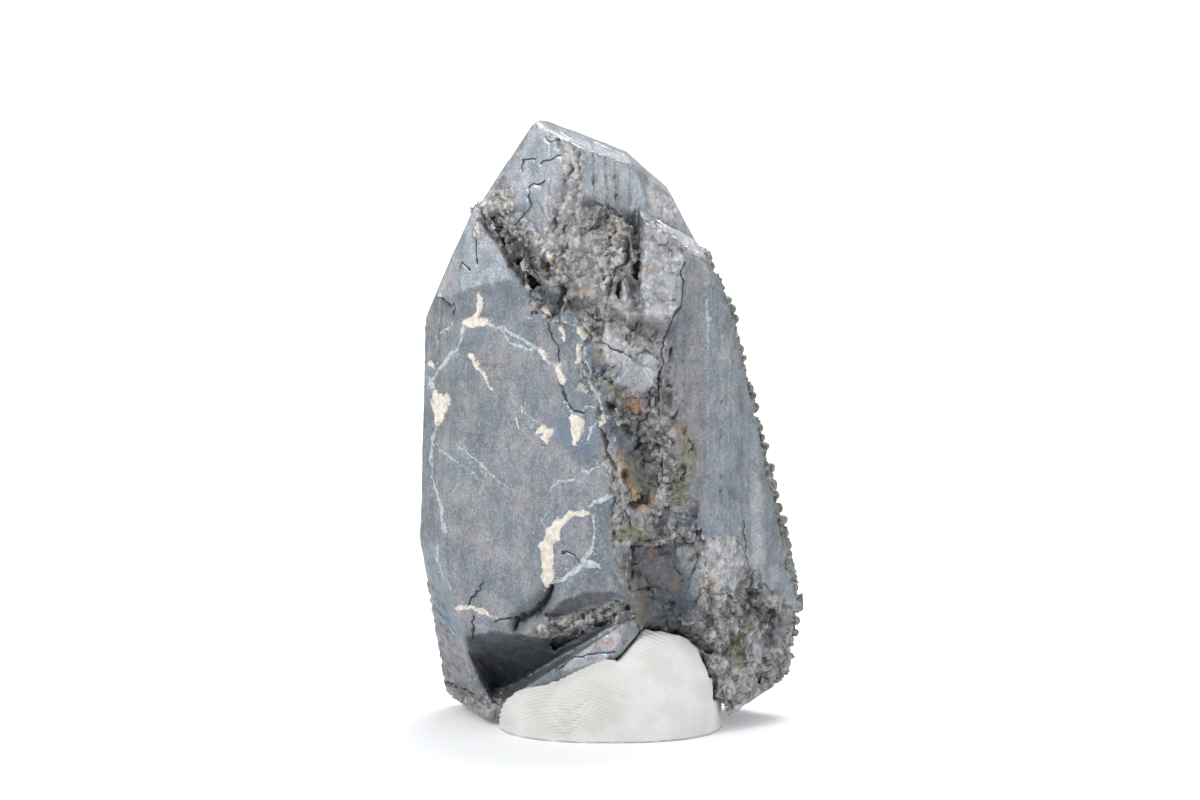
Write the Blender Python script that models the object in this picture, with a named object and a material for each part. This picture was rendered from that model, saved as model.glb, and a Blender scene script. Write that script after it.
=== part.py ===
"""A ferberite crystal standing in a wad of white mineral putty.

Two crystals are grown together in parallel: a broad one in front, whose top and middle are broken
into blocky rubble, and a taller one behind it with a wedge-shaped end. Both are cut from the
planes of their faces, joined, and then given their fracture pits, rubble, ribs and druse.

Lengths are in millimetres until a mesh is made. X runs to the right as seen from the front,
Y away from the viewer, Z up from the surface that the putty rests on. A face is written as
(azimuth, elevation, point): azimuth 0 looks to the front, 90 to the right and 180 to the back,
elevation is how far the face looks up, and the point is any point on the face.
"""

import math
import random

import bmesh
import bpy
from mathutils import Euler, Matrix, Vector

MM = 0.001
# Half the size of the cube that each block is cut from, and the clearance round the crystal.
BLANK = 80.0
GAP = 0.3

# Front crystal: its prism faces, its shoulders and its broken foot.
LEFT_FACE = (-27.5, 0, (1.4, -10.8, 25))
RIDGE_FACE = (2, 0, (3, -11.2, 25))
RIGHT_FACE = (27, 0, (4.9, -11.0, 25))
RIGHT_BEVEL = (50, 0, (8.8, -9.05, 25))
DRUSY_SIDE = (92, 14, (13.7, -3.2, 26.4))
DRUSY_SHOULDER = (91, 28, (9.0, 0, 42.4))
LEFT_STRIP = (-63.5, 2.7, (-17.7, 3, 20))
LEFT_STRIP_LOW = (-63.5, -9, (-17.5, 3, 14))
LEFT_BACK = (-105, 1, (-17.7, 3.2, 20))
LEFT_BACK_LOW = (-105, -9, (-17.5, 3.2, 14))
LEFT_SHOULDER = (-88, 23, (-15.9, -1.8, 39.6))
RIGHT_LEDGE = (84, 58, (5, -10.5, 45.6))
TONGUE_TOP = (180, 50, (-11.8, -3.9, 48.2))
BACK_RIGHT = (152, 0, (-2.6, 12.0, 25))
BACK_LEFT = (-154, 0, (-2.6, 12.0, 25))
FOOT = (0, -90, (0, 0, 0.4))
FOOT_BEHIND = (170, -83, (-10.4, -3.5, 0.6))
FOOT_LEFT = (-90, -64, (-13.2, -3.5, 0.45))
FOOT_RIGHT = (90, -68, (15.9, -4, 3.3))
FOOT_RIGHT_SIDE = (90, -15.8, (17.5, -4, 7.6))

FRONT_CRYSTAL = [
    LEFT_FACE, RIDGE_FACE, RIGHT_FACE, RIGHT_BEVEL, DRUSY_SIDE, DRUSY_SHOULDER,
    LEFT_STRIP, LEFT_STRIP_LOW, LEFT_BACK, LEFT_BACK_LOW, LEFT_SHOULDER,
    RIGHT_LEDGE, TONGUE_TOP, BACK_RIGHT, BACK_LEFT,
    FOOT, FOOT_BEHIND, FOOT_LEFT, FOOT_RIGHT, FOOT_RIGHT_SIDE,
]

# Back crystal: a taller prism whose end is a wedge that falls to the right.
APEX = (-7.0, -3.1, 55.4)
END_FACE_LEFT = (-32, 2, (-2.7, -5.9, 45))
END_FACE_RIGHT = (32, 2, (-2.7, -5.9, 45))
REAR_RIGHT = (150, 0, (1.5, 13.0, 40))
REAR_LEFT = (-150, 0, (1.5, 13.0, 40))
BACK_CRYSTAL = [
    END_FACE_LEFT,
    END_FACE_RIGHT,
    (-100, 35.6, APEX),
    (-85, 5, (-12.0, 0, 47.9)),
    (71, 65.3, APEX),
    (60, 12, (3.7, -1.0, 49)),
    (84, 46, (3.9, 0, 50.0)),
    (88, 16, (8.0, 0, 46.2)),
    DRUSY_SIDE,
    DRUSY_SHOULDER,
    (176, 40, (-5, 0.8, 55.6)),
    REAR_RIGHT,
    REAR_LEFT,
    (172, -38, (0, 12, 14)),
    (0, -90, (0, 0, 10)),
]

# The break that took the front crystal's end away, between the left tongue and the right ledge.
BROKEN_END = [
    (-144, -32, (-8.8, -5.4, 43.6)),
    (90, 0, (2.6, 0, 40)),
    (150, -60, (-1.5, -8, 38.6)),
    (-170, 0, (0, 3, 40)),
]

# The overhang low on the left: its roof, its floor and its two ends, with a chip over its rim.
SLOT_ROOF = (161.7, 37.5, (-9.1, -5.3, 8.5))
SLOT_FLOOR = (93.1, -52.3, (-9.9, -0.2, 2.5))
SLOT = [
    SLOT_ROOF,
    SLOT_FLOOR,
    (180, -86, (-11, -1, 2.4)),
    (-90, -26, (-13.3, -3.2, 7.2)),
    (80, 20, (2.4, -11, 10)),
]
CHIP = [
    (163, 35, (-1.5, -9.3, 12.3)),
    (-60, -20, (-5.6, -7, 10)),
    (70, 10, (1.0, -10.5, 12)),
    (20, -60, (-2, -9, 9.8)),
]

# Below the ridge the crystal draws back into the putty, and an arch runs under its foot.
FOOT_NOTCH = [(186, 38, (4, -8.9, 10.5)), (-80, 42, (0.2, -9, 7.2)), (82, 12, (10.3, -9, 2))]
FOOT_ARCH = [
    (-90, 30, (-7.0, -4, 0.4)),
    (90, 30, (9.4, -4, 1.2)),
    (4, 86, (0, -4, 3.2)),
    (180, 20, (0, 3.5, 2)),
]

# The smooth hollow under the rubble, over the putty.
HOLLOW = [
    (188, -6, (4.5, -9.4, 15)),
    (-84, 6, (1.3, -9, 14)),
    (80, -4, (8.3, -9, 15)),
    (10, 55, (4, -10, 18.6)),
]

# Narrow clefts: between tongue and back crystal, and between the two rubble blocks.
CLEFTS = [
    [
        (-105, -38, (-10.0, -4.6, 45.2)),
        (75, 38, (-9.0, -4.0, 45.2)),
        (180, 0, (0, -1.6, 44)),
        (35, -55, (-6.4, -6.4, 40.4)),
    ],
    [
        (-84, 4, (2.15, -8, 44)),
        (96, -2, (2.6, -8, 44)),
        (184, 0, (2, -7.0, 44)),
        (10, -80, (2.2, -9, 41.5)),
    ],
    [
        (-64, 10, (-0.1, -8, 41.5)),
        (116, -6, (0.35, -8, 41.5)),
        (186, 0, (2, -7.4, 41)),
        (10, -80, (0, -9, 39.6)),
        (-170, 80, (0, -9, 42.6)),
    ],
]

# Zones of broken lumps: corners of the patch, columns, rows, least and largest half size, how much
# taller than wide, azimuth that the patch looks to, how many sizes deep the lumps sit and how far
# their faces stray in degrees.
MIDDLE = ((-2.6, -9.6, 39.5), (4.4, -11.4, 40.5), (4.6, -11.4, 30), (1.6, -11.2, 30))
MIDDLE_LOW = ((1.9, -11.3, 30), (4.6, -11.3, 30), (6.9, -10.3, 19), (2.6, -11.3, 19))
RIGHT_BLOCK = ((3.0, -10.8, 46.2), (5.8, -10.7, 45.2), (5.2, -11.2, 36), (1.6, -11.6, 36))
LEFT_BLOCK = ((-3.4, -7.4, 45.4), (1.9, -8.0, 45.8), (1.7, -9.6, 39.2), (-4.6, -8.0, 38.8))
TONGUE_SIDE = ((-11.2, -3.6, 46.2), (-10.0, -2.8, 46.2), (-4.6, -6.2, 39), (-6.4, -7.2, 39))
FOOT_BLOCK = ((8.6, -9.3, 13.5), (16.0, -0.8, 12.0), (15.2, -1.8, 3.2), (11.0, -7.0, 2.6))
FOOT_MIDDLE = ((1.8, -8.8, 20), (8.2, -9.4, 20), (8.6, -8.6, 11), (1.8, -8.6, 11))
SLOT_RIM = ((-9.0, -5.8, 9.6), (1.8, -11.2, 12.0), (1.4, -10.6, 10.4), (-9.0, -5.0, 8.4))
FOOT_BACK = ((10.5, 6.0, 14), (-11.0, 8.6, 16), (-9.0, 7.6, 5), (9.5, 5.0, 5))
FOOT_BACK_LEFT = ((-11.4, 7.8, 13), (-15.2, 5.2, 11), (-13.4, 4.4, 4), (-9.6, 6.8, 4))

PITS = [
    (MIDDLE, 2, 4, 1.2, 2.1, 1.3, 2, 0.0, 18),
    (MIDDLE_LOW, 2, 4, 1.0, 1.7, 1.5, 2, 0.0, 18),
    (RIGHT_BLOCK, 2, 3, 1.0, 1.6, 1.5, 0, -0.6, 24),
    (FOOT_BLOCK, 4, 3, 1.0, 1.9, 1.0, 45, -0.35, 28),
    (FOOT_BACK, 4, 2, 2.0, 3.2, 1.0, 178, -0.8, 28),
    (FOOT_BACK_LEFT, 2, 2, 1.2, 2.0, 1.1, -130, -0.4, 28),
]
RUBBLE = [
    (MIDDLE, 3, 5, 0.8, 1.6, 1.5, 2, 1.15, 14),
    (MIDDLE_LOW, 3, 4, 0.7, 1.3, 1.7, 2, 1.15, 14),
    (LEFT_BLOCK, 4, 4, 1.2, 1.8, 1.4, -6, 0.6, 20),
    (TONGUE_SIDE, 2, 6, 0.7, 1.3, 1.3, -20, 0.7, 26),
    (FOOT_BLOCK, 5, 4, 0.7, 1.4, 1.0, 45, 1.0, 28),
    (FOOT_MIDDLE, 2, 3, 0.6, 1.1, 1.1, 0, 0.8, 26),
    (SLOT_RIM, 5, 1, 0.5, 0.9, 0.8, -25, 0.95, 26),
    (FOOT_BACK, 4, 2, 1.2, 2.2, 1.1, 178, 1.0, 26),
    (FOOT_BACK_LEFT, 2, 2, 0.9, 1.6, 1.1, -130, 1.0, 26),
]

# A lump: where in its cell it may sit, its depth and height to its width, how much its ends tilt,
# how many corners it may have lost, how steep those breaks are and how near its middle they come.
CELL_SPAN = (0.15, 0.85)
LUMP_DEPTH = (0.7, 1.1)
LUMP_HEIGHT = (0.8, 1.2)
END_TILT = (0.1, 0.8)
LOST_CORNERS = (1, 2, 2, 3)
BREAK_ELEVATION = 60
BREAK_REACH = (0.75, 1.0)

# Druse: small stout crystals over the drusy side and the back beside it. Corners of the patch,
# columns, rows, least and largest size.
DRUSE = [
    (((10.6, -5.2, 38.4), (10.3, 4.4, 38.4), (17.5, 3.4, 9.2), (17.6, 1.9, 9.2)), 4, 24, 0.8, 1.4),
    (((8.0, 1.0, 44), (7.8, 7.4, 44), (10.4, 4.6, 38.8), (10.5, -1, 38.8)), 4, 4, 0.8, 1.3),
    (((8.6, 8.5, 42), (5.4, 10.4, 42), (8.0, 9.0, 17), (14.6, 5.0, 17)), 3, 10, 0.9, 1.6),
]
DRUSE_SQUASH = 0.7

# Growth ribs: the crystal, the face that carries the rib, how far to the side of the face's point
# its middle lies, its width and how far it stands out.
RIBS = [
    (FRONT_CRYSTAL, RIGHT_FACE, 1.4, 0.9, 0.10),
    (FRONT_CRYSTAL, RIGHT_BEVEL, 2.6, 1.3, 0.12),
    (FRONT_CRYSTAL, RIGHT_BEVEL, 5.4, 1.0, 0.16),
    (FRONT_CRYSTAL, LEFT_STRIP, 1.6, 1.6, 0.14),
    (FRONT_CRYSTAL, BACK_LEFT, 4.0, 2.2, 0.20),
    (FRONT_CRYSTAL, BACK_LEFT, 7.6, 1.4, 0.28),
    (FRONT_CRYSTAL, BACK_LEFT, 11.2, 2.4, 0.18),
    (BACK_CRYSTAL, END_FACE_LEFT, -2.6, 1.6, 0.10),
    (BACK_CRYSTAL, END_FACE_RIGHT, 2.2, 1.2, 0.10),
    (BACK_CRYSTAL, END_FACE_RIGHT, 4.6, 1.5, 0.12),
    (BACK_CRYSTAL, REAR_RIGHT, -1.6, 1.4, 0.22),
    (BACK_CRYSTAL, REAR_RIGHT, -4.4, 2.0, 0.18),
    (BACK_CRYSTAL, REAR_RIGHT, -7.6, 1.2, 0.26),
    (BACK_CRYSTAL, REAR_LEFT, 1.8, 1.6, 0.24),
    (BACK_CRYSTAL, REAR_LEFT, 4.6, 1.2, 0.18),
]
RIB_INSET = 0.06
RIB_DEPTH = 0.8
RIB_FLANK = 70

# Putty wad: middle of its footprint, its half width, its reach to the front and to the back.
PUTTY_MIDDLE = (0.0, -3.0)
PUTTY_HALF_WIDTH = 10.4
PUTTY_FRONT = 9.4
PUTTY_BACK = 8.4
PUTTY_SQUARENESS = 2.4
PUTTY_LOW_TOP = 5.0
PUTTY_HIGH_TOP = 10.8
PUTTY_RISE = (-6.5, 3.5)
PUTTY_FLATNESS = 4
PUTTY_SHOULDER = 0.4
PUTTY_SIDES = 56
PUTTY_RINGS = 9
# The crystal's lowest corner leaves no putty beneath it.
UNDER_CORNER = [(-27.5, 0, (1.4, -10.8, 25)), (80, 0, (-7.4, -4, 0)), (0, 90, (0, 0, 4))]

# Finishes: name, colour, metallic and roughness.
CRYSTAL_FINISH = ("ferberite", (0.16, 0.17, 0.185), 0.6, 0.4)
PUTTY_FINISH = ("white_putty", (0.76, 0.75, 0.72), 0.0, 0.85)
PIT_SEED = 7
RUBBLE_SEED = 31
DRUSE_SEED = 5


def outward(azimuth, elevation):
    """The direction that a face of this azimuth and elevation looks in."""
    turn = math.radians(azimuth)
    rise = math.radians(elevation)
    return Vector((
        math.sin(turn) * math.cos(rise),
        -math.cos(turn) * math.cos(rise),
        math.sin(rise),
    ))


def add_block(bm, faces, grow=0.0):
    """Adds the convex block that the faces enclose, each face moved outwards by grow."""
    blank = bmesh.new()
    bmesh.ops.create_cube(blank, size=2 * BLANK)
    for azimuth, elevation, point in faces:
        normal = outward(azimuth, elevation)
        cut = bmesh.ops.bisect_plane(
            blank,
            geom=blank.verts[:] + blank.edges[:] + blank.faces[:],
            dist=1e-5,
            plane_co=Vector(point) + normal * grow,
            plane_no=normal,
            clear_outer=True,
        )
        rim = [item for item in cut["geom_cut"] if isinstance(item, bmesh.types.BMEdge)]
        if rim:
            bmesh.ops.contextual_create(blank, geom=rim)
    bmesh.ops.recalc_face_normals(blank, faces=blank.faces[:])
    copies = {vert: bm.verts.new(vert.co) for vert in blank.verts}
    for face in blank.faces:
        bm.faces.new([copies[vert] for vert in face.verts])
    blank.free()


def lump_faces(rng, centre, half, turn, wander):
    """Faces of a broken lump: a box turned to the crystal's own planes, with corners broken off.

    half holds the half width, half depth and half height, turn is the azimuth that the box's
    front looks to, wander is how far its faces stray in degrees.
    """
    middle = Vector(centre)
    width, depth, height = half
    turn += rng.uniform(-1, 1) * wander
    sides = [(0, depth), (90, width), (180, depth), (270, width)]
    faces = []
    for quarter, reach in sides:
        azimuth = turn + quarter + rng.uniform(-wander, wander)
        elevation = rng.uniform(-wander, wander)
        faces.append((azimuth, elevation, middle + outward(azimuth, elevation) * reach))
    for end in (-1, 1):
        azimuth = rng.uniform(0, 360)
        elevation = end * (90 - rng.uniform(*END_TILT) * wander)
        faces.append((azimuth, elevation, middle + outward(azimuth, elevation) * height))
    for _ in range(rng.choice(LOST_CORNERS)):
        azimuth = rng.uniform(0, 360)
        elevation = rng.uniform(-BREAK_ELEVATION, BREAK_ELEVATION)
        way = outward(azimuth, elevation)
        side = math.hypot(way.x, way.y) * (width + depth) / 2
        reach = math.hypot(side, way.z * height) * rng.uniform(*BREAK_REACH)
        faces.append((azimuth, elevation, middle + way * reach))
    return faces


def on_patch(patch, across, along):
    """A point of a four-cornered patch: across runs from its first corner to its second."""
    first, second, third, fourth = (Vector(corner) for corner in patch)
    return first.lerp(second, across).lerp(fourth.lerp(third, across), along)


def scatter(bm, rng, zone, grow=0.0):
    """Adds a zone's lumps to bm, one in each cell of a loose grid, each face moved out by grow."""
    patch, columns, rows, small, large, stretch, turn, sink, wander = zone
    for row in range(rows):
        for column in range(columns):
            across = (column + rng.uniform(*CELL_SPAN)) / columns
            along = (row + rng.uniform(*CELL_SPAN)) / rows
            size = rng.uniform(small, large)
            depth = size * rng.uniform(*LUMP_DEPTH)
            height = size * stretch * rng.uniform(*LUMP_HEIGHT)
            centre = on_patch(patch, across, along) - outward(turn, 0) * sink * size
            add_block(bm, lump_faces(rng, centre, (size, depth, height), turn, wander), grow)


def scatter_druse(bm, rng, zone):
    """Adds a zone's small crystals to bm, one turned and flattened block in each cell of a grid."""
    patch, columns, rows, small, large = zone
    for row in range(rows):
        for column in range(columns):
            across = (column + rng.uniform(0, 1)) / columns
            along = (row + rng.uniform(0, 1)) / rows
            size = rng.uniform(small, large)
            turned = Euler([rng.uniform(0, math.pi) for _ in range(3)]).to_matrix().to_4x4()
            squash = Matrix.Diagonal((size, size, size * DRUSE_SQUASH, 1))
            place = Matrix.Translation(on_patch(patch, across, along))
            bmesh.ops.create_cube(bm, size=1.0, matrix=place @ turned @ squash)


def new_object(name, bm):
    """Makes an object of bm, turning millimetres into metres."""
    bmesh.ops.scale(bm, vec=Vector((MM, MM, MM)), verts=bm.verts[:])
    mesh = bpy.data.meshes.new(name)
    bm.to_mesh(mesh)
    bm.free()
    body = bpy.data.objects.new(name, mesh)
    bpy.context.scene.collection.objects.link(body)
    return body


def combine(body, tool, operation):
    """Joins tool to body or cuts it away, and removes the tool."""
    boolean = body.modifiers.new(operation.title(), "BOOLEAN")
    boolean.operation = operation
    boolean.solver = "EXACT"
    boolean.use_self = True
    boolean.object = tool
    bpy.context.view_layer.update()
    graph = bpy.context.evaluated_depsgraph_get()
    joined = bpy.data.meshes.new_from_object(body.evaluated_get(graph))
    body.modifiers.clear()
    body.data = joined
    bpy.data.objects.remove(tool)


def blocks_object(name, blocks, grow=0.0):
    """One object that holds a convex block for each list of faces."""
    bm = bmesh.new()
    for faces in blocks:
        add_block(bm, faces, grow)
    return new_object(name, bm)


def lumps_object(name, seed, zones, grow=0.0):
    """One object that holds the broken lumps of all these zones."""
    bm = bmesh.new()
    rng = random.Random(seed)
    for zone in zones:
        scatter(bm, rng, zone, grow)
    return new_object(name, bm)


def druse_object(name, seed, zones):
    """One object that holds the small crystals of all these zones."""
    bm = bmesh.new()
    rng = random.Random(seed)
    for zone in zones:
        scatter_druse(bm, rng, zone)
    return new_object(name, bm)


def keep_main_piece(body):
    """Drops the crumbs that the cuts have freed, and keeps the crystal itself."""
    bm = bmesh.new()
    bm.from_mesh(body.data)
    unseen = set(bm.verts)
    pieces = []
    while unseen:
        start = unseen.pop()
        piece = [start]
        edge_of_search = [start]
        while edge_of_search:
            vert = edge_of_search.pop()
            for edge in vert.link_edges:
                neighbour = edge.other_vert(vert)
                if neighbour in unseen:
                    unseen.remove(neighbour)
                    piece.append(neighbour)
                    edge_of_search.append(neighbour)
        pieces.append(piece)
    pieces.sort(key=len, reverse=True)
    for piece in pieces[1:]:
        bmesh.ops.delete(bm, geom=piece, context="VERTS")
    bm.to_mesh(body.data)
    bm.free()


def finish_material(name, colour, metallic, roughness):
    """A Principled material of this colour."""
    material = bpy.data.materials.new(name)
    material.use_nodes = True
    shader = material.node_tree.nodes["Principled BSDF"]
    shader.inputs["Base Color"].default_value = (*colour, 1.0)
    shader.inputs["Metallic"].default_value = metallic
    shader.inputs["Roughness"].default_value = roughness
    return material


def make_ribs():
    """Low ribs that run the whole length of the faces they grow on."""
    blocks = []
    for crystal, carrier, aside, width, proud in RIBS:
        azimuth, elevation, point = carrier
        out = outward(azimuth, elevation)
        side = outward(azimuth + 90, 0)
        middle = Vector(point) + side * aside
        faces = [(azimuth, elevation, Vector(point) + out * proud)]
        for other in crystal:
            if other is not carrier:
                inset = Vector(other[2]) - outward(other[0], other[1]) * RIB_INSET
                faces.append((other[0], other[1], inset))
        faces.append((azimuth + RIB_FLANK, 0, middle + side * width / 2))
        faces.append((azimuth - RIB_FLANK, 0, middle - side * width / 2))
        faces.append((azimuth + 180, -elevation, Vector(point) - out * RIB_DEPTH))
        blocks.append(faces)
    return blocks_object("ribs", blocks)


def make_crystal(finish):
    """The two crystals grown together, with all that is broken off or grown on them."""
    crystal = blocks_object("ferberite_crystal", [FRONT_CRYSTAL])
    combine(crystal, blocks_object("broken_end", [BROKEN_END]), "DIFFERENCE")
    combine(crystal, blocks_object("back_crystal", [BACK_CRYSTAL]), "UNION")
    combine(crystal, make_ribs(), "UNION")
    combine(crystal, blocks_object("slot", [SLOT, CHIP]), "DIFFERENCE")
    combine(crystal, blocks_object("hollows", [FOOT_NOTCH, FOOT_ARCH, HOLLOW]), "DIFFERENCE")
    combine(crystal, lumps_object("pits", PIT_SEED, PITS), "DIFFERENCE")
    combine(crystal, lumps_object("rubble", RUBBLE_SEED, RUBBLE), "UNION")
    combine(crystal, blocks_object("clefts", CLEFTS), "DIFFERENCE")
    combine(crystal, druse_object("druse", DRUSE_SEED, DRUSE), "UNION")
    keep_main_piece(crystal)
    crystal.data.materials.clear()
    crystal.data.materials.append(finish)
    return crystal


def putty_radius(turn):
    """Reach of the putty's footprint from its middle, at this turn from +X."""
    depth = PUTTY_FRONT if math.sin(turn) < 0 else PUTTY_BACK
    across = abs(math.cos(turn)) / PUTTY_HALF_WIDTH
    along = abs(math.sin(turn)) / depth
    return (across ** PUTTY_SQUARENESS + along ** PUTTY_SQUARENESS) ** (-1 / PUTTY_SQUARENESS)


def putty_top(x):
    """Height that the wad would reach at its middle line, low on the left and high on the right."""
    start, end = PUTTY_RISE
    share = min(max((x - start) / (end - start), 0), 1)
    ease = share * share * (3 - 2 * share)
    return PUTTY_LOW_TOP + (PUTTY_HIGH_TOP - PUTTY_LOW_TOP) * ease


def make_putty(finish):
    """The wad: a rounded heap with a flat underside, pressed onto the crystal's foot."""
    bm = bmesh.new()
    rings = []
    for ring in range(1, PUTTY_RINGS + 1):
        reach = math.sin(0.5 * math.pi * ring / PUTTY_RINGS)
        height = max(1 - reach ** PUTTY_FLATNESS, 0) ** PUTTY_SHOULDER
        verts = []
        for side in range(PUTTY_SIDES):
            turn = 2 * math.pi * side / PUTTY_SIDES
            radius = putty_radius(turn) * reach
            x = PUTTY_MIDDLE[0] + radius * math.cos(turn)
            y = PUTTY_MIDDLE[1] + radius * math.sin(turn)
            verts.append(bm.verts.new((x, y, putty_top(x) * height)))
        rings.append(verts)
    crown = bm.verts.new((*PUTTY_MIDDLE, putty_top(PUTTY_MIDDLE[0])))
    for side in range(PUTTY_SIDES):
        following = (side + 1) % PUTTY_SIDES
        bm.faces.new((crown, rings[0][side], rings[0][following]))
        for inner, outer in zip(rings, rings[1:]):
            bm.faces.new((inner[side], outer[side], outer[following], inner[following]))
    bm.faces.new(list(reversed(rings[-1])))
    bmesh.ops.recalc_face_normals(bm, faces=bm.faces[:])
    putty = new_object("mounting_putty", bm)
    hold = blocks_object("hold", [FRONT_CRYSTAL], GAP)
    combine(hold, blocks_object("slot", [SLOT], -GAP), "DIFFERENCE")
    combine(hold, blocks_object("hollows", [FOOT_NOTCH, FOOT_ARCH, HOLLOW], -GAP), "DIFFERENCE")
    combine(putty, hold, "DIFFERENCE")
    combine(putty, lumps_object("rubble", RUBBLE_SEED, RUBBLE, GAP), "DIFFERENCE")
    combine(putty, blocks_object("under_corner", [UNDER_CORNER], GAP), "DIFFERENCE")
    keep_main_piece(putty)
    putty.data.materials.clear()
    putty.data.materials.append(finish)
    return putty


def stand_on_origin(bodies):
    """Moves the meshes so that the box's bottom centre is the origin."""
    corners = [vert.co for body in bodies for vert in body.data.vertices]
    low = Vector([min(corner[axis] for corner in corners) for axis in range(3)])
    high = Vector([max(corner[axis] for corner in corners) for axis in range(3)])
    middle = (low + high) / 2
    shift = Vector((-middle.x, -middle.y, -low.z))
    for body in bodies:
        for vert in body.data.vertices:
            vert.co += shift


def main():
    for old in list(bpy.data.objects):
        bpy.data.objects.remove(old)
    crystal = make_crystal(finish_material(*CRYSTAL_FINISH))
    putty = make_putty(finish_material(*PUTTY_FINISH))
    stand_on_origin([crystal, putty])


main()
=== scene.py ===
"""The looks of a ferberite crystal that stands in a wad of white putty.

The solids carry the planes of the faces, the broken blocks and the putty's shape. This script lays
the fine surface over them: the crushed zone between the two crystals, cracks, veins, clay crusts,
stains, striae, druse, and the fingertip ridges in the putty.

Lengths are in millimetres until a mesh is made. Whatever is placed on the front is drawn as
strokes: points of the photograph, in pixels, each with the stroke's half width there. A stroke lands
on the surface that the camera sees at that place.
"""

import math
import random

import bmesh
import bpy
import numpy as np
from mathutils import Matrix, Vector
from mathutils.bvhtree import BVHTree


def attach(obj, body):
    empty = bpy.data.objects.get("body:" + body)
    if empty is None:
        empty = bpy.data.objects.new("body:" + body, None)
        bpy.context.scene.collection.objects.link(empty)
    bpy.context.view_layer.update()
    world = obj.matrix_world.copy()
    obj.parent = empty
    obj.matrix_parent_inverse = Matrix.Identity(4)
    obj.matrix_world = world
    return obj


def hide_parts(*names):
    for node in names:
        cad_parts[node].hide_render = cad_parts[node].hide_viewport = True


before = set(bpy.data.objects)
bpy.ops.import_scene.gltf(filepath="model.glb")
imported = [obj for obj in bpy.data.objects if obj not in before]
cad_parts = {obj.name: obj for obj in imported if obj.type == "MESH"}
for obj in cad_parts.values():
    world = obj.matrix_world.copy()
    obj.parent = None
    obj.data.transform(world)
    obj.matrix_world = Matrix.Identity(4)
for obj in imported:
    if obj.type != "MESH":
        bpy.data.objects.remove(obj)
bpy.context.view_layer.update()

MM = 0.001

# The photograph and its camera: image size in pixels, millimetres in a pixel at the point aimed at,
# lens and sensor, how far the camera looks down, and the point aimed at.
PHOTO_WIDTH = 1200
PHOTO_HEIGHT = 800
PIXEL = 0.0925
LENS = 100.0
SENSOR = 36.0
LOOKS_DOWN = math.radians(6)
AIM = np.array([-1.06, -0.30, 29.7])
DISTANCE = PHOTO_WIDTH * PIXEL * LENS / SENSOR
FORWARD = np.array([0.0, math.cos(LOOKS_DOWN), -math.sin(LOOKS_DOWN)])
LIFT = np.array([0.0, math.sin(LOOKS_DOWN), math.cos(LOOKS_DOWN)])
EYE = AIM - DISTANCE * FORWARD

# Studio: half the floor's side in metres, the floor's own glow near and far, and where near ends and far
# begins in metres; the sky's strength low and high, and that of the backdrop that the camera sees; the
# lamps with their place, width, power in watts and colour.
FLOOR_HALF = 1.2
FLOOR_GLOW = (0.10, 0.75)
FLOOR_GLOW_REACH = (0.06, 0.70)
SKY_LOW = 0.40
SKY_HIGH = 0.70
BACKDROP = 1.05
LIGHTS = [
    ("key", (-0.24, -0.22, 0.26), 0.16, 0.75, (1.0, 1.0, 1.0)),
    ("fill", (0.30, -0.16, 0.14), 0.18, 0.25, (0.96, 0.98, 1.0)),
    ("top", (0.05, 0.16, 0.34), 0.20, 0.90, (1.0, 1.0, 1.0)),
]

# Fine meshes: size of the crystal's and the putty's surface cells, and the most cells in one piece.
CRYSTAL_CELL = 0.148
PUTTY_CELL = 0.13
PIECE_CELLS = 96000
# Rounds of smoothing that even out the cells before they are laid on the solid a second time.
EVEN_ROUNDS = 5
# A face of the solid that is larger than this is a crystal face; smaller ones are breaks.
CRYSTAL_FACE_AREA = 9.0
# Edges sharper than this many degrees are shaded as edges, on the surfaces and on the druse grains.
SHARP_SURFACE = 62
SHARP_GRAIN = 24
# What the camera sees: the width in pixels of the cells that are compared, how much a surface has to
# face the camera, and how far behind the foremost point of its cell it may lie, in millimetres: flat
# on, and the more for each unit of slope.
SIGHT_CELL = 2
SIGHT_TOWARD = 0.05
SIGHT_LEEWAY = 0.9
SIGHT_SLOPE = 0.19
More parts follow.
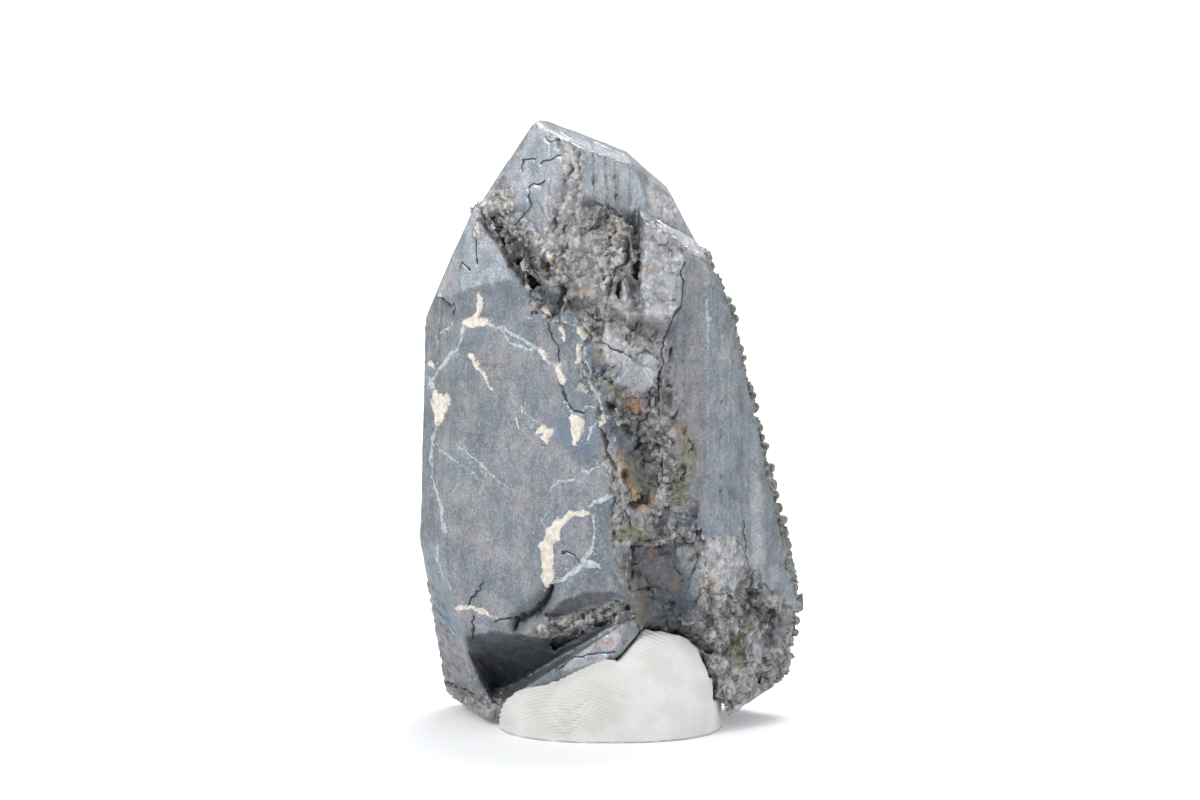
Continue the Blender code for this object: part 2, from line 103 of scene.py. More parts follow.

# Hairline cracks, whose shade is painted in black.
CRACKS = [
    [(522, 158, 0.8), (522, 171, 0.6)],
    [(522, 158, 0.7), (536, 159, 0.5)],
    [(543, 163, 0.8), (551, 160, 1.1), (558, 153, 0.7)],
    [(543, 179, 1), (535, 186, 1.3), (531, 188, 0.8)],
    [(530, 194, 1), (528, 210, 1.7), (521, 218, 1.2), (518, 223, 0.8)],
    [(543, 137, 0.8), (549, 142, 1), (557, 139, 0.8)],
    [(435, 296, 0.9), (447, 301, 1), (453, 308, 1), (456, 315, 0.7)],
    [(559, 383, 1), (564, 398, 1.5), (572, 409, 1.6), (583, 414, 1)],
    [(546, 318, 0.8), (549, 331, 0.9), (557, 346, 1), (560, 364, 1)],
    [(562, 553, 0.7), (569, 553, 0.8), (581, 561, 0.7)],
    [(481, 583, 0.9), (480, 589, 1.1), (471, 596, 0.9), (469, 606, 0.7)],
    [(471, 616, 0.8), (473, 627, 0.9), (472, 638, 0.8)],
    [(495, 621, 0.7), (503, 618, 0.9), (510, 617, 0.8)],
    [(559, 667, 0.8), (572, 659, 0.9), (591, 654, 0.8), (612, 654, 0.7)],
    [(744, 521, 0.6), (747, 550, 0.8), (750, 580, 0.8)],
    [(476, 240, 0.6), (475, 252, 0.8), (478, 263, 0.7)],
    [(457, 268, 0.6), (463, 262, 0.6), (470, 270, 0.6)],
    [(604, 344, 0.8), (617, 350, 1.4), (631, 359, 1)],
    [(662, 352, 0.9), (660, 378, 1), (659, 402, 0.8)],
    [(438, 677, 0.7), (453, 684, 0.9), (471, 694, 0.7)],
    [(684, 262, 0.7), (681, 300, 0.8), (668, 334, 0.8), (661, 352, 0.8)],
]

# Gaps that the light doesn't reach, whose shade is painted in black.
GAPS = [
    [(628, 238, 1.4), (631, 249, 2.6), (627, 261, 1.8), (617, 271, 1), (609, 284, 1.2), (608, 294, 0.8)],
    [(480, 206, 0.8), (486, 224, 1.4), (492, 236, 0.6), (500, 243, 1.6), (507, 252, 0.6), (511, 262, 1.3)],
    [(511, 262, 1.3), (516, 272, 0.5), (522, 282, 1.4), (530, 292, 0.5), (541, 303, 0.9)],
    [(486, 209, 0.4), (494, 219, 1.1), (503, 229, 0.4), (514, 247, 1.1), (522, 256, 0.4), (532, 268, 1)],
    [(500, 222, 0.4), (508, 233, 1), (512, 240, 0.4)],
    [(524, 244, 0.4), (533, 254, 1), (545, 262, 0.4)],
    [(550, 588, 2.5), (547, 597, 3.8), (539, 609, 3), (527, 617, 1.8), (516, 619, 3), (513, 628, 2.4)],
    [(606, 403, 1.6), (614, 408, 3.6), (622, 412, 1.8)],
    [(567, 163, 1), (570, 171, 1.6), (566, 178, 0.8)],
    [(556, 212, 0.9), (553, 222, 1.4), (551, 232, 0.9)],
    [(559, 250, 0.8), (553, 264, 1.1), (551, 274, 0.8)],
    [(560, 312, 1), (564, 300, 1.5), (560, 290, 1)],
    [(598, 430, 1.2), (606, 452, 2), (616, 470, 1.2)],
    [(770, 620, 1.6), (776, 628, 2.6), (770, 640, 1.6)],
    [(729, 593, 1.6), (733, 598, 1.6)],
]
# How deep the gaps and the cracks are, and how high veins, clay and olive crust stand, in millimetres.
GAP_DEPTH = 0.6
CRACK_DEPTH = 0.12
VEIN_HEIGHT = 0.035
CLAY_HEIGHT = 0.15
OLIVE_HEIGHT = 0.12

# Crumbling zones of the front: their outline, how coarse the fragments are (0 fine, 1 blocks), and how
# strongly the surface is broken there.
CRUSHED = [
    ([(477, 203), (500, 212), (522, 234), (540, 254), (560, 260), (592, 298), (640, 316), (668, 328),
      (661, 350), (630, 344), (600, 325), (575, 317), (545, 300), (520, 286), (507, 262), (492, 236)],
     0.1, 1),
    ([(583, 214), (592, 206), (606, 205), (622, 216), (631, 238), (628, 262), (612, 282), (606, 302),
      (588, 298), (572, 280), (560, 262), (570, 240)], 0.15, 0.9),
    ([(634, 234), (648, 218), (662, 222), (676, 240), (684, 262), (681, 300), (668, 332), (640, 322),
      (610, 305), (612, 284), (630, 262)], 0, 0.52),
    ([(552, 138), (572, 144), (583, 158), (582, 200), (574, 240), (556, 262), (534, 256), (545, 230),
      (556, 200), (564, 168)], 0, 0.75),
    ([(498, 182), (504, 178), (512, 196), (522, 220), (546, 240), (558, 262), (530, 250), (500, 216),
      (480, 206)], 0, 0.75),
    ([(648, 190), (672, 196), (682, 214), (676, 224), (656, 214)], 0, 0.5),
    ([(592, 392), (604, 396), (626, 394), (642, 392), (659, 388), (664, 420), (684, 424), (696, 441),
      (690, 490), (694, 512), (704, 540), (650, 556), (618, 552), (606, 534), (614, 512), (604, 478),
      (598, 430)], 0.25, 0.86),
    ([(578, 342), (606, 346), (610, 396), (598, 400), (578, 388)], 0.1, 0.55),
    ([(660, 340), (666, 342), (670, 400), (672, 424), (662, 420)], 0.1, 0.6),
    ([(610, 545), (650, 552), (704, 538), (722, 570), (706, 640), (690, 652), (640, 634), (618, 606)],
     0.4, 0.55),
    ([(704, 552), (712, 536), (736, 534), (748, 562), (772, 592), (792, 602), (803, 640), (795, 676),
      (788, 694), (762, 702), (722, 716), (712, 680), (698, 648), (692, 610)], 0.35, 0.72),
    ([(548, 622), (587, 610), (622, 598), (634, 608), (626, 620), (596, 628), (566, 642), (528, 634),
      (536, 624)], 0.5, 0.9),
    ([(438, 692), (470, 692), (495, 708), (500, 730), (464, 716), (448, 704)], 0.4, 0.7),
]
# Calm zones inside the broken ones, rubbed smooth again, with how strongly they stay broken.
CALM = [
    ([(601, 322), (631, 346), (657, 357), (658, 388), (640, 392), (612, 382), (603, 352)], 0.38),
    ([(548, 618), (566, 599), (584, 588), (614, 588), (624, 597), (587, 609)], 0.05),
    ([(690, 205), (712, 222), (736, 296), (770, 420), (758, 424), (726, 330), (706, 262), (686, 240)],
     0.15),
    ([(466, 640), (500, 633), (545, 640), (590, 634), (548, 652), (505, 672), (480, 700)], 0.05),
    ([(708, 540), (730, 536), (744, 562), (736, 586), (712, 582)], 0.40),
    ([(744, 640), (764, 636), (770, 660), (748, 668)], 0.40),
]
# Where the solid is cut deeper than the stone: outlines, each with how far below the plane of the front
# crystal's left face its floor lies. The cuts are filled that lie no deeper than the reach, and no
# point moves by more than the most.
FILLS = [
    ([(576, 340), (610, 344), (612, 400), (596, 402), (576, 392)], 0.2),
    ([(476, 200), (500, 208), (530, 240), (560, 292), (540, 304), (516, 284), (498, 250), (484, 226)],
     0.45),
]
FILL_REACH = 5.5
FILL_MOST = 3.0
FACE_NORMAL = np.array([math.sin(math.radians(-27.5)), -math.cos(math.radians(-27.5)), 0])
FACE_POINT = np.array([1.26, -11.1, 25])

# Ribs across the left edge near the foot: the zone, the pixels from one rib to the next down the edge,
# how far they lean, and their height in millimetres.
RIB_ZONE = [(414, 574), (434, 584), (446, 600), (456, 640), (470, 668), (480, 694), (452, 700),
            (424, 690), (412, 620)]
RIB_STEP = 10.5
RIB_LEAN = 0.75
RIB_HEIGHT = 0.11

# Grains of druse along the right edge: where, and their half width, in pixels.
EDGE_GRAINS = [
    (728, 300, 5), (731, 309, 6), (735, 319, 5), (740, 350, 6), (743, 358, 5), (749, 388, 6), (752, 396, 5),
    (755, 407, 5), (759, 428, 6), (762, 437, 5), (772, 486, 6), (775, 495, 5), (779, 508, 5), (782, 520, 6),
    (785, 533, 5), (787, 545, 6), (789, 555, 5), (797, 606, 4), (800, 620, 5), (800, 633, 4),
]
# How many grains there are in all, the smallest and largest half width of those strewn by chance in
# millimetres, how close two may stand against the sum of those, and the start of the random draws.
GRAIN_COUNT = 115
GRAIN_HALF = (0.28, 0.62)
GRAIN_SPACING = 0.7
GRAIN_SEED = 17
# Above this height in millimetres the right shoulder is bare of druse.
BARE_HEIGHT = 38.5

# Zones of the front with a tone of their own and with painted light and shade: outline, lightness against
# the rest (partly the zone's own tone, partly painted light on faces that catch the lamps and painted
# shade in the slot), cast from blue (-1) to brown (1), and softness of the border in pixels.
TONES_AND_PAINTED_LIGHT = [
    ([(478, 203), (500, 212), (524, 236), (548, 262), (570, 290), (548, 306), (516, 284), (498, 250),
      (486, 228)], 1.05, -0.2, 3),
    ([(468, 200), (430, 296), (449, 300), (458, 293), (470, 287), (480, 285), (498, 282), (514, 280),
      (505, 262), (490, 235), (480, 210)], 1.50, 0, 1),
    ([(531, 112), (466, 206), (500, 214), (540, 262), (556, 258), (561, 215), (566, 176), (556, 138)],
     1.58, 0, 3),
    ([(552, 136), (572, 144), (584, 158), (582, 200), (574, 240), (556, 262), (545, 230), (560, 170)],
     1.38, 0.4, 4),
    ([(576, 134), (646, 162), (656, 182), (652, 214), (632, 230), (618, 214), (592, 204), (583, 222),
      (580, 190)], 1.28, -0.25, 2),
    ([(612, 152), (623, 156), (623, 212), (615, 211)], 1.08, 0.9, 3),
    ([(650, 172), (704, 222), (712, 262), (690, 252), (662, 224), (650, 214)], 1.70, 0.5, 2),
    ([(684, 262), (704, 256), (707, 300), (708, 400), (708, 520), (702, 545), (690, 511), (690, 470),
      (676, 424), (662, 390), (668, 335)], 0.76, 0.45, 2.5),
    ([(704, 256), (732, 290), (793, 554), (806, 640), (770, 600), (745, 562), (736, 536), (709, 536),
      (707, 400)], 1.04, -0.55, 3),
    ([(749, 472), (759, 472), (765, 560), (759, 578), (753, 560)], 1.15, 0.7, 1.5),
    ([(762, 480), (776, 480), (786, 560), (768, 566)], 0.86, -0.9, 2),
    ([(612, 545), (650, 552), (704, 535), (710, 570), (700, 640), (640, 636), (618, 606)], 0.70, -0.1, 6),
    ([(700, 552), (736, 534), (772, 590), (806, 606), (806, 690), (722, 716), (700, 650)], 1.12, 0.1, 5),
    ([(596, 392), (660, 388), (690, 440), (690, 512), (650, 552), (606, 534), (614, 512)], 0.88, -0.1, 5),
    ([(466, 636), (500, 631), (545, 638), (596, 626), (628, 612), (630, 620), (600, 634), (566, 652),
      (522, 680), (498, 690), (480, 702), (468, 660)], 0.40, -0.2, 1.5),
    ([(550, 612), (566, 599), (584, 591), (614, 591), (621, 597), (587, 608), (553, 618)], 0.40, -0.1, 2),
    ([(601, 322), (631, 346), (657, 357), (658, 388), (640, 392), (612, 380), (603, 350)], 1.54, 0.3, 2),
    ([(536, 288), (560, 284), (600, 300), (668, 330), (661, 350), (630, 344), (600, 325), (560, 308)],
     0.95, -0.2, 4),
    ([(583, 214), (592, 206), (606, 205), (622, 216), (631, 238), (628, 262), (612, 282), (606, 302),
      (588, 298), (572, 280), (566, 250)], 1.12, 0.5, 4),
    ([(634, 234), (648, 218), (676, 240), (684, 262), (681, 300), (668, 332), (610, 305), (630, 262)],
     1.46, 0.1, 3),
    ([(438, 300), (480, 287), (520, 286), (548, 308), (590, 345), (600, 384), (585, 376), (556, 340),
      (520, 324), (480, 319), (450, 322)], 0.95, -0.75, 5),
    ([(586, 503), (612, 498), (620, 556), (604, 590), (566, 592), (580, 575), (592, 550)], 0.80, -0.6, 4),
    ([(424, 400), (436, 420), (436, 500), (452, 570), (462, 640), (440, 640), (418, 500)], 0.96, -0.8, 4),
    ([(560, 672), (575, 652), (600, 634), (616, 622), (622, 640), (600, 664)], 1.60, 0.1, 1.5),
    ([(560, 372), (600, 380), (606, 450), (590, 470), (566, 452), (556, 420)], 0.94, -0.7, 5),
    ([(438, 625), (458, 640), (470, 660), (486, 692), (470, 700), (436, 680)], 0.74, 0.2, 3),
    ([(560, 136), (641, 160), (652, 176), (640, 168), (590, 152)], 1.5, 0, 1.5),
    ([(708, 540), (730, 536), (744, 562), (736, 586), (712, 582)], 1.35, 0, 3),
]
# Lines along which the crushed rock is drawn out in fibres, with how far to each side it reaches.
FIBRES = [
    [(548, 284, 8), (575, 292, 12), (602, 302, 13), (634, 318, 12), (668, 334, 8)],
    [(604, 322, 5), (622, 336, 8), (645, 346, 7), (662, 352, 4)],
    [(652, 322, 8), (664, 340, 8), (664, 376, 5), (666, 420, 4)],
    [(574, 232, 12), (584, 256, 16), (590, 284, 12)],
    [(560, 150, 6), (570, 178, 9), (564, 214, 8), (552, 246, 7)],
    [(606, 408, 8), (618, 448, 12), (632, 500, 12), (640, 530, 10)],
    [(672, 400, 6), (680, 440, 9), (690, 500, 8)],
    [(655, 240, 10), (662, 270, 14), (655, 312, 12)],
]

# Clay crusts.
CLAY = [
    [(479, 296, 2.6), (482, 304, 2.2), (480, 313, 2.2), (477, 320, 3)],
    [(465, 325, 2.6), (475, 322, 4.4), (485, 323, 3.2), (489, 327, 1.2)],
    [(435, 392, 2.6), (441, 400, 8.2), (440, 411, 6.6), (437, 423, 2.4)],
    [(471, 357, 3), (476, 364, 1.6), (481, 372, 1.8), (487, 382, 2.2), (492, 388, 1.2)],
    [(546, 307, 1.2), (547, 314, 1.6), (546, 321, 1)],
    [(559, 327, 2.8), (562, 334, 3), (565, 342, 1.6)],
    [(581, 330, 3.8), (583, 334, 4.2)],
    [(579, 346, 2.4), (579, 355, 3.2), (576, 363, 1.8)],
    [(542, 349, 2.2), (545, 355, 2.6)],
    [(560, 364, 1.8), (561, 374, 4.2), (562, 384, 2.4)],
    [(567, 400, 1.4), (568, 408, 1.8)],
    [(575, 417, 4), (579, 426, 7), (577, 436, 5.4), (574, 442, 2.6)],
    [(536, 434, 2.4), (545, 430, 4.6), (552, 432, 2.6), (546, 441, 2.8)],
    [(604, 416, 2), (602, 423, 3.2), (598, 428, 1.6)],
    [(613, 438, 1.6), (615, 443, 1.4)],
    [(455, 608, 0.9), (464, 607, 1.7), (473, 609, 1.6), (484, 613, 2.2), (497, 617, 1.6)],
    [(588, 513, 2.2), (575, 515, 3.6), (563, 522, 5), (553, 532, 6.6)],
    [(553, 532, 6.6), (547, 545, 7.2), (548, 560, 6.4), (549, 572, 5.8), (545, 584, 3)],
    [(431, 362, 1.8), (433, 364, 1.4)],
    [(501, 190, 1.2), (507, 201, 1.8), (510, 208, 1)],
    [(488, 217, 1.4), (496, 225, 2), (503, 230, 1)],
    [(516, 231, 1.2), (529, 244, 1.8)],
    [(521, 263, 1.4), (526, 272, 1.6)],
    [(520, 408, 0.8), (522, 412, 0.8)],
    [(448, 628, 0.8), (452, 632, 0.8)],
]
# Veins of pale blue and white, thinner than the clay.
VEINS = [
    [(484, 325, 1.1), (500, 329, 1.2), (515, 335, 1.5), (531, 343, 1.6), (542, 353, 1.4), (557, 366, 1)],
    [(500, 330, 0.8), (508, 342, 1.2), (520, 346, 1.4), (534, 350, 1)],
    [(465, 328, 1.5), (461, 338, 1.3), (455, 350, 1.4), (448, 360, 1.8), (438, 371, 1.5), (427, 384, 1.1)],
    [(428, 376, 1.3), (432, 386, 1.6), (437, 394, 1)],
    [(438, 417, 1.2), (433, 430, 1.3), (430, 462, 1), (435, 487, 1), (443, 518, 1.5), (446, 533, 1)],
    [(581, 372, 1), (589, 383, 1.2), (596, 393, 1.2), (602, 408, 1.2), (607, 419, 1)],
    [(581, 412, 0.9), (587, 407, 1.2), (596, 409, 1)],
    [(433, 444, 0.7), (443, 451, 0.8), (455, 459, 0.7), (480, 480, 0.5)],
    [(456, 444, 0.6), (471, 457, 0.8), (493, 477, 0.6), (516, 490, 0.5)],
    [(551, 490, 0.9), (559, 482, 1.3), (568, 481, 1.1), (576, 480, 0.8)],
    [(581, 469, 1.6), (588, 473, 1.5), (599, 466, 0.9)],
    [(516, 419, 0.9), (519, 428, 0.9), (526, 436, 0.6)],
    [(510, 391, 0.7), (514, 400, 0.8), (517, 406, 0.6)],
    [(594, 513, 1), (596, 530, 1.1), (589, 553, 1.6), (579, 568, 2.8), (565, 578, 2.4), (549, 584, 1)],
    [(584, 562, 2.4), (592, 564, 2.8), (599, 565, 1.6)],
    [(589, 506, 1.2), (598, 500, 2), (606, 497, 1.6), (615, 494, 1)],
    [(545, 530, 0.8), (541, 522, 0.8), (548, 515, 0.6)],
    [(557, 318, 1), (567, 324, 0.9), (576, 328, 0.8)],
    [(441, 333, 0.9), (448, 329, 1), (453, 322, 0.7)],
    [(586, 348, 1), (584, 360, 1.4), (588, 372, 1)],
    [(596, 422, 1), (590, 430, 1.2), (588, 440, 0.8)],
    [(438, 545, 0.8), (436, 560, 0.9), (445, 578, 0.8), (451, 590, 0.8)],
    [(524, 410, 0.6), (533, 418, 0.8), (531, 428, 0.7)],
    [(707, 300, 0.7), (708, 330, 0.9), (709, 352, 0.6)],
]

# Stains: rust, blue tarnish, olive crust and near-black; the near-black is partly painted shade.
RUST = [
    [(552, 256, 1.6), (553, 264, 2.6), (552, 271, 1.8)],
    [(583, 288, 2), (585, 293, 1.4)],
    [(646, 268, 3), (654, 270, 3)],
    [(625, 398, 3.6), (631, 403, 5), (638, 408, 3)],
    [(619, 452, 3), (626, 472, 5), (637, 491, 6), (643, 507, 5), (652, 500, 2.4)],
    [(650, 551, 2), (653, 556, 2.6)],
    [(640, 597, 2), (641, 603, 2.4)],
    [(682, 570, 1.4), (676, 580, 2), (672, 589, 1.4)],
    [(709, 577, 1.6), (713, 580, 1.6)],
    [(603, 641, 1.6), (610, 642, 1.4)],
    [(752, 626, 1.6), (756, 628, 1.6)],
    [(756, 692, 1.6), (752, 694, 1.6)],
    [(676, 430, 2), (680, 434, 1.6)],
]
BLUE = [
    [(604, 504, 2.6), (607, 507, 2.4)],
    [(586, 281, 2.4), (590, 284, 2)],
    [(522, 288, 3), (547, 298, 5), (575, 318, 7)],
    [(440, 600, 3), (447, 614, 5), (456, 632, 4)],
    [(668, 513, 3), (688, 521, 8), (706, 530, 5)],
    [(516, 622, 3), (527, 620, 2)],
    [(588, 350, 8), (592, 370, 6)],
    [(676, 556, 6), (690, 584, 7), (684, 610, 6)],
    [(604, 420, 7), (622, 446, 9)],
    [(560, 430, 10), (590, 445, 10)],
]
OLIVE = [
    [(618, 534, 5), (632, 531, 8.5), (646, 538, 5)],
    [(608, 384, 4), (611, 390, 4)],
    [(594, 352, 3), (598, 358, 4)],
    [(682, 428, 5), (688, 450, 7), (684, 476, 7), (678, 500, 6)],
    [(636, 470, 10), (646, 492, 9)],
    [(640, 610, 5), (644, 622, 6)],
    [(735, 640, 9), (742, 664, 7)],
]
# Near-black: partly a dark stain, partly painted shade around the gaps and low in the crushed zones.
DARK_AND_SHADE = [
    [(604, 404, 4), (614, 409, 8), (624, 413, 4)],
    [(612, 424, 6), (628, 436, 14), (640, 462, 14), (640, 480, 8)],
    [(508, 252, 3), (520, 272, 6), (548, 296, 7), (580, 306, 7)],
    [(488, 218, 1.5), (496, 236, 3), (508, 250, 3)],
    [(550, 588, 6), (541, 606, 8), (520, 620, 9), (513, 628, 6)],
    [(588, 204, 6), (600, 212, 5)],
    [(650, 560, 24), (664, 596, 26), (668, 640, 22)],
    [(640, 326, 8), (662, 330, 10)],
    [(762, 612, 8), (774, 626, 9), (768, 642, 7)],
    [(470, 642, 4), (476, 640, 3)],
    [(730, 491, 1.6), (732, 495, 1.6)],
]

# The putty: what the ridges of the fingertip bend around and how far apart they are, in pixels, their
# height in millimetres, and the width and height in millimetres of the faint grid beside them.
PRINT_CORE = (560, 752)
RIDGE_STEP = 5.2
RIDGE_HEIGHT = 0.062
GRID_WIDTH = 0.42
GRID_HEIGHT = 0.014

# Colours of the smooth faces, the crushed rock, the druse, the stains, the fillings and the putty.
BLUE_GREY = (0.200, 0.232, 0.262)
LILAC_GREY = (0.288, 0.288, 0.306)
DARK_GRAIN = (0.11, 0.115, 0.13)
PALE_GRAIN = (0.52, 0.53, 0.55)
SCRATCH = (0.12, 0.125, 0.14)
# Painted highlight.
PAINTED_GLEAM = (0.60, 0.62, 0.66)
CRACKLE = (0.09, 0.09, 0.10)
ROCK_DARK = (0.14, 0.14, 0.143)
ROCK_PALE = (0.54, 0.525, 0.51)
ROCK_BROWN = (0.36, 0.25, 0.17)
ROCK_FIBRE = (0.30, 0.30, 0.31)
# Painted shade of the crevices and seams of the crushed rock.
CREVICE_SHADE_BLACK = (0.030, 0.030, 0.032)
CRUST_DARK = (0.10, 0.11, 0.10)
CRUST_PALE = (0.26, 0.27, 0.24)
DRUSE_DARK = (0.105, 0.112, 0.10)
DRUSE_PALE = (0.27, 0.275, 0.24)
RUST_DARK = (0.26, 0.09, 0.03)
RUST_PALE = (0.60, 0.36, 0.17)
TARNISH_BLUE = (0.13, 0.19, 0.27)
OLIVE_DARK = (0.08, 0.08, 0.055)
OLIVE_PALE = (0.36, 0.34, 0.24)
# Near-black, partly painted shade.
STAIN_AND_SHADE_BLACK = (0.035, 0.039, 0.046)
VEIN_BLUE = (0.30, 0.38, 0.42)
VEIN_WHITE = (0.60, 0.63, 0.63)
CLAY_DARK = (0.56, 0.50, 0.43)
CLAY_PALE = (0.76, 0.71, 0.63)
# Painted shade of the cracks and gaps.
CRACK_SHADE_BLACK = (0.014, 0.015, 0.017)
PUTTY_SHADE = (0.645, 0.64, 0.62)
PUTTY_WHITE = (0.72, 0.715, 0.70)
PUTTY_SPECK = (0.10, 0.08, 0.07)
# Painted shade of the fingerprint's grooves.
PUTTY_GROOVE_SHADE = (0.46, 0.44, 0.40)
PUTTY_FIBRE = (0.30, 0.22, 0.18)
# Darker colour for the putty's foot.
PUTTY_FOOT_DARK = (0.24, 0.21, 0.18)
FLOOR_COOL = (0.90, 0.92, 0.94)
FLOOR_PALE = (0.92, 0.935, 0.95)


def to_photo(points):
    """Where points in millimetres lie in the photograph, in pixels, and how far off they are."""
    seen = points - EYE
    depth = seen @ FORWARD
    scale = DISTANCE / depth / PIXEL
    across = PHOTO_WIDTH / 2 + seen[:, 0] * scale
    down = PHOTO_HEIGHT / 2 - (seen @ LIFT) * scale
    return np.column_stack((across, down)), depth


def random_at(x, y, z, seed):
    """A repeatable random number from 0 to 1 for each point of a whole-number lattice."""
    mixed = x.astype(np.int64) * 73856093 + y.astype(np.int64) * 19349663
    mixed += z.astype(np.int64) * 83492791 + seed * 2654435
    mixed = (mixed & 0xFFFFFFFF).astype(np.uint64)
    mixed = ((mixed ^ (mixed >> 15)) * 2246822519) & 0xFFFFFFFF
    mixed = ((mixed ^ (mixed >> 13)) * 3266489917) & 0xFFFFFFFF
    return ((mixed ^ (mixed >> 16)) & 0xFFFFFF) / 0xFFFFFF


def noise(points, size, seed):
    """Smooth noise from -1 to 1; size is the width of its features, one number or three."""
    place = points / np.asarray(size, float)
    cell = np.floor(place)
    share = place - cell
    share = share * share * (3 - 2 * share)
    total = np.zeros(len(points))
    for corner in range(8):
        step = np.array([corner & 1, corner >> 1 & 1, corner >> 2 & 1])
        weight = np.prod(np.where(step, share, 1 - share), axis=1)
        at = cell + step
        total += weight * random_at(at[:, 0], at[:, 1], at[:, 2], seed)
    return total * 2 - 1


def layered(points, size, seed, layers=3):
    """Noise with finer layers added, each half as wide and half as strong as the one before."""
    total = np.zeros(len(points))
    for layer in range(layers):
        total += noise(points, np.asarray(size, float) / 2 ** layer, seed + layer) / 2 ** layer
    return total


def chips(points, size, seed, step, slope):
    """Broken facets, one in each cell: height in millimetres, nearness to a rim, a number of its own.

    Each facet is a plane at a height of its own, up to step, and as steep as slope at most.
    """
    size = np.asarray(size, float)
    place = points / size
    cell = np.floor(place)
    nearest = np.full(len(points), 9.0)
    second = np.full(len(points), 9.0)
    height = np.zeros(len(points))
    own = np.zeros(len(points))
    for corner in range(27):
        at = cell + np.array([corner % 3 - 1, corner // 3 % 3 - 1, corner // 9 - 1])
        draw = [random_at(at[:, 0], at[:, 1], at[:, 2], seed + turn) for turn in range(5)]
        offset = place - at - np.column_stack(draw[:3])
        apart = np.linalg.norm(offset, axis=1)
        closer = apart < nearest
        second = np.where(closer, nearest, np.minimum(second, apart))
        nearest = np.where(closer, apart, nearest)
        lean = np.column_stack((draw[4], draw[0], draw[3])) * 2 - 1
        here = step * (draw[3] * 2 - 1) + slope * np.einsum("ij,ij->i", offset * size, lean)
        height = np.where(closer, here, height)
        own = np.where(closer, draw[4], own)
    return height, second - nearest, own


def ramp(values, start, end):
    """0 before start, 1 past end, smooth between."""
    share = np.clip((values - start) / (end - start), 0, 1)
    return share * share * (3 - 2 * share)


def stroke_distance(spots, strokes, reach):
    """For each photo point, pixels outside the nearest stroke, and pixels to its line by side."""
    outside = np.full(len(spots), float(reach))
    beside = np.full(len(spots), float(reach))
    for stroke in strokes:
        for (x0, y0, r0), (x1, y1, r1) in zip(stroke, stroke[1:]):
            pad = reach + max(r0, r1)
            inside = (spots[:, 0] > min(x0, x1) - pad) & (spots[:, 0] < max(x0, x1) + pad)
            inside &= (spots[:, 1] > min(y0, y1) - pad) & (spots[:, 1] < max(y0, y1) + pad)
            chosen = np.flatnonzero(inside)
            start = np.array([x0, y0])
            run = np.array([x1, y1]) - start
            away = spots[chosen] - start
            along = np.clip(away @ run / (run @ run), 0, 1)
            away = away - along[:, None] * run
            apart = np.linalg.norm(away, axis=1)
            out = apart - (r0 + (r1 - r0) * along)
            side = np.sign(run[0] * away[:, 1] - run[1] * away[:, 0])
            better = out < outside[chosen]
            outside[chosen[better]] = out[better]
            beside[chosen[better]] = (apart * side)[better]
    return outside, beside


def area_share(spots, outline, soft, ragged):
    """How far inside an outline the photo points lie: 0 outside, 1 inside, soft at the border."""
    corners = np.array(outline, float)
    pad = 2 * soft + 6
    inside = (spots > corners.min(0) - pad) & (spots < corners.max(0) + pad)
    chosen = np.flatnonzero(np.all(inside, axis=1))
    near = spots[chosen]
    within = np.zeros(len(chosen), bool)
    apart = np.full(len(chosen), 1e9)
    for start, end in zip(corners, np.roll(corners, -1, axis=0)):
        run = end - start
        away = near - start
        along = np.clip(away @ run / (run @ run), 0, 1)
        apart = np.minimum(apart, np.linalg.norm(away - along[:, None] * run, axis=1))
        crosses = (start[1] > near[:, 1]) != (end[1] > near[:, 1])
        rise = run[1] if run[1] else 1e-9
        within ^= crosses & (near[:, 0] < start[0] + run[0] * (near[:, 1] - start[1]) / rise)
    depth = np.where(within, apart, -apart) + ragged[chosen]
    share = np.zeros(len(spots))
    share[chosen] = ramp(depth, -soft, soft)
    return share


def in_sight(spots, depth, toward, faces):
    """Which points the camera sees: they face it, and nothing lies more than a little in front.

    The steeper a surface runs away from the camera, the more depth it has of its own at one place.
    """
    cell = np.floor(spots / SIGHT_CELL).astype(int)
    cell -= cell.min(axis=0)
    key = cell[:, 0] * (cell[:, 1].max() + 1) + cell[:, 1]
    front = np.full(key.max() + 1, np.inf)
    np.minimum.at(front, key, depth)
    leeway = SIGHT_LEEWAY + SIGHT_SLOPE / np.maximum(toward, SIGHT_TOWARD)
    clear = (toward > SIGHT_TOWARD) & (depth < front[key] + leeway)
    return smoothed(clear.astype(float), faces, 2) > 0.5


def fine_mesh(source, cell):
    """A copy of the solid's mesh with small even cells, laid back on the solid's own faces.

    Returns the points in millimetres, the four-sided faces, and the solid's face under each point.
    """
    copy = source.copy()
    copy.data = source.data.copy()
    copy.parent = None
    bpy.context.scene.collection.objects.link(copy)
    remesh = copy.modifiers.new("Fine", "REMESH")
    remesh.mode = "VOXEL"
    remesh.voxel_size = cell * MM
    graph = bpy.context.evaluated_depsgraph_get()
    mesh = bpy.data.meshes.new_from_object(copy.evaluated_get(graph))
    bpy.data.objects.remove(copy)
    points = np.zeros(len(mesh.vertices) * 3)
    mesh.vertices.foreach_get("co", points)
    points = points.reshape(-1, 3) / MM
    corners = np.zeros(len(mesh.loops), int)
    mesh.loops.foreach_get("vertex_index", corners)
    faces = corners.reshape(-1, 4)
    bpy.data.meshes.remove(mesh)
    solid_points = [vert.co / MM for vert in source.data.vertices]
    tree = BVHTree.FromPolygons(solid_points, [face.vertices[:] for face in source.data.polygons])
    under = np.zeros(len(points), int)
    for rounds in (0, EVEN_ROUNDS):
        points = smoothed(points, faces, rounds)
        for index, point in enumerate(points):
            place, _, face, _ = tree.find_nearest(point)
            points[index] = place
            under[index] = face
    return smoothed(points, faces, 1), faces, under


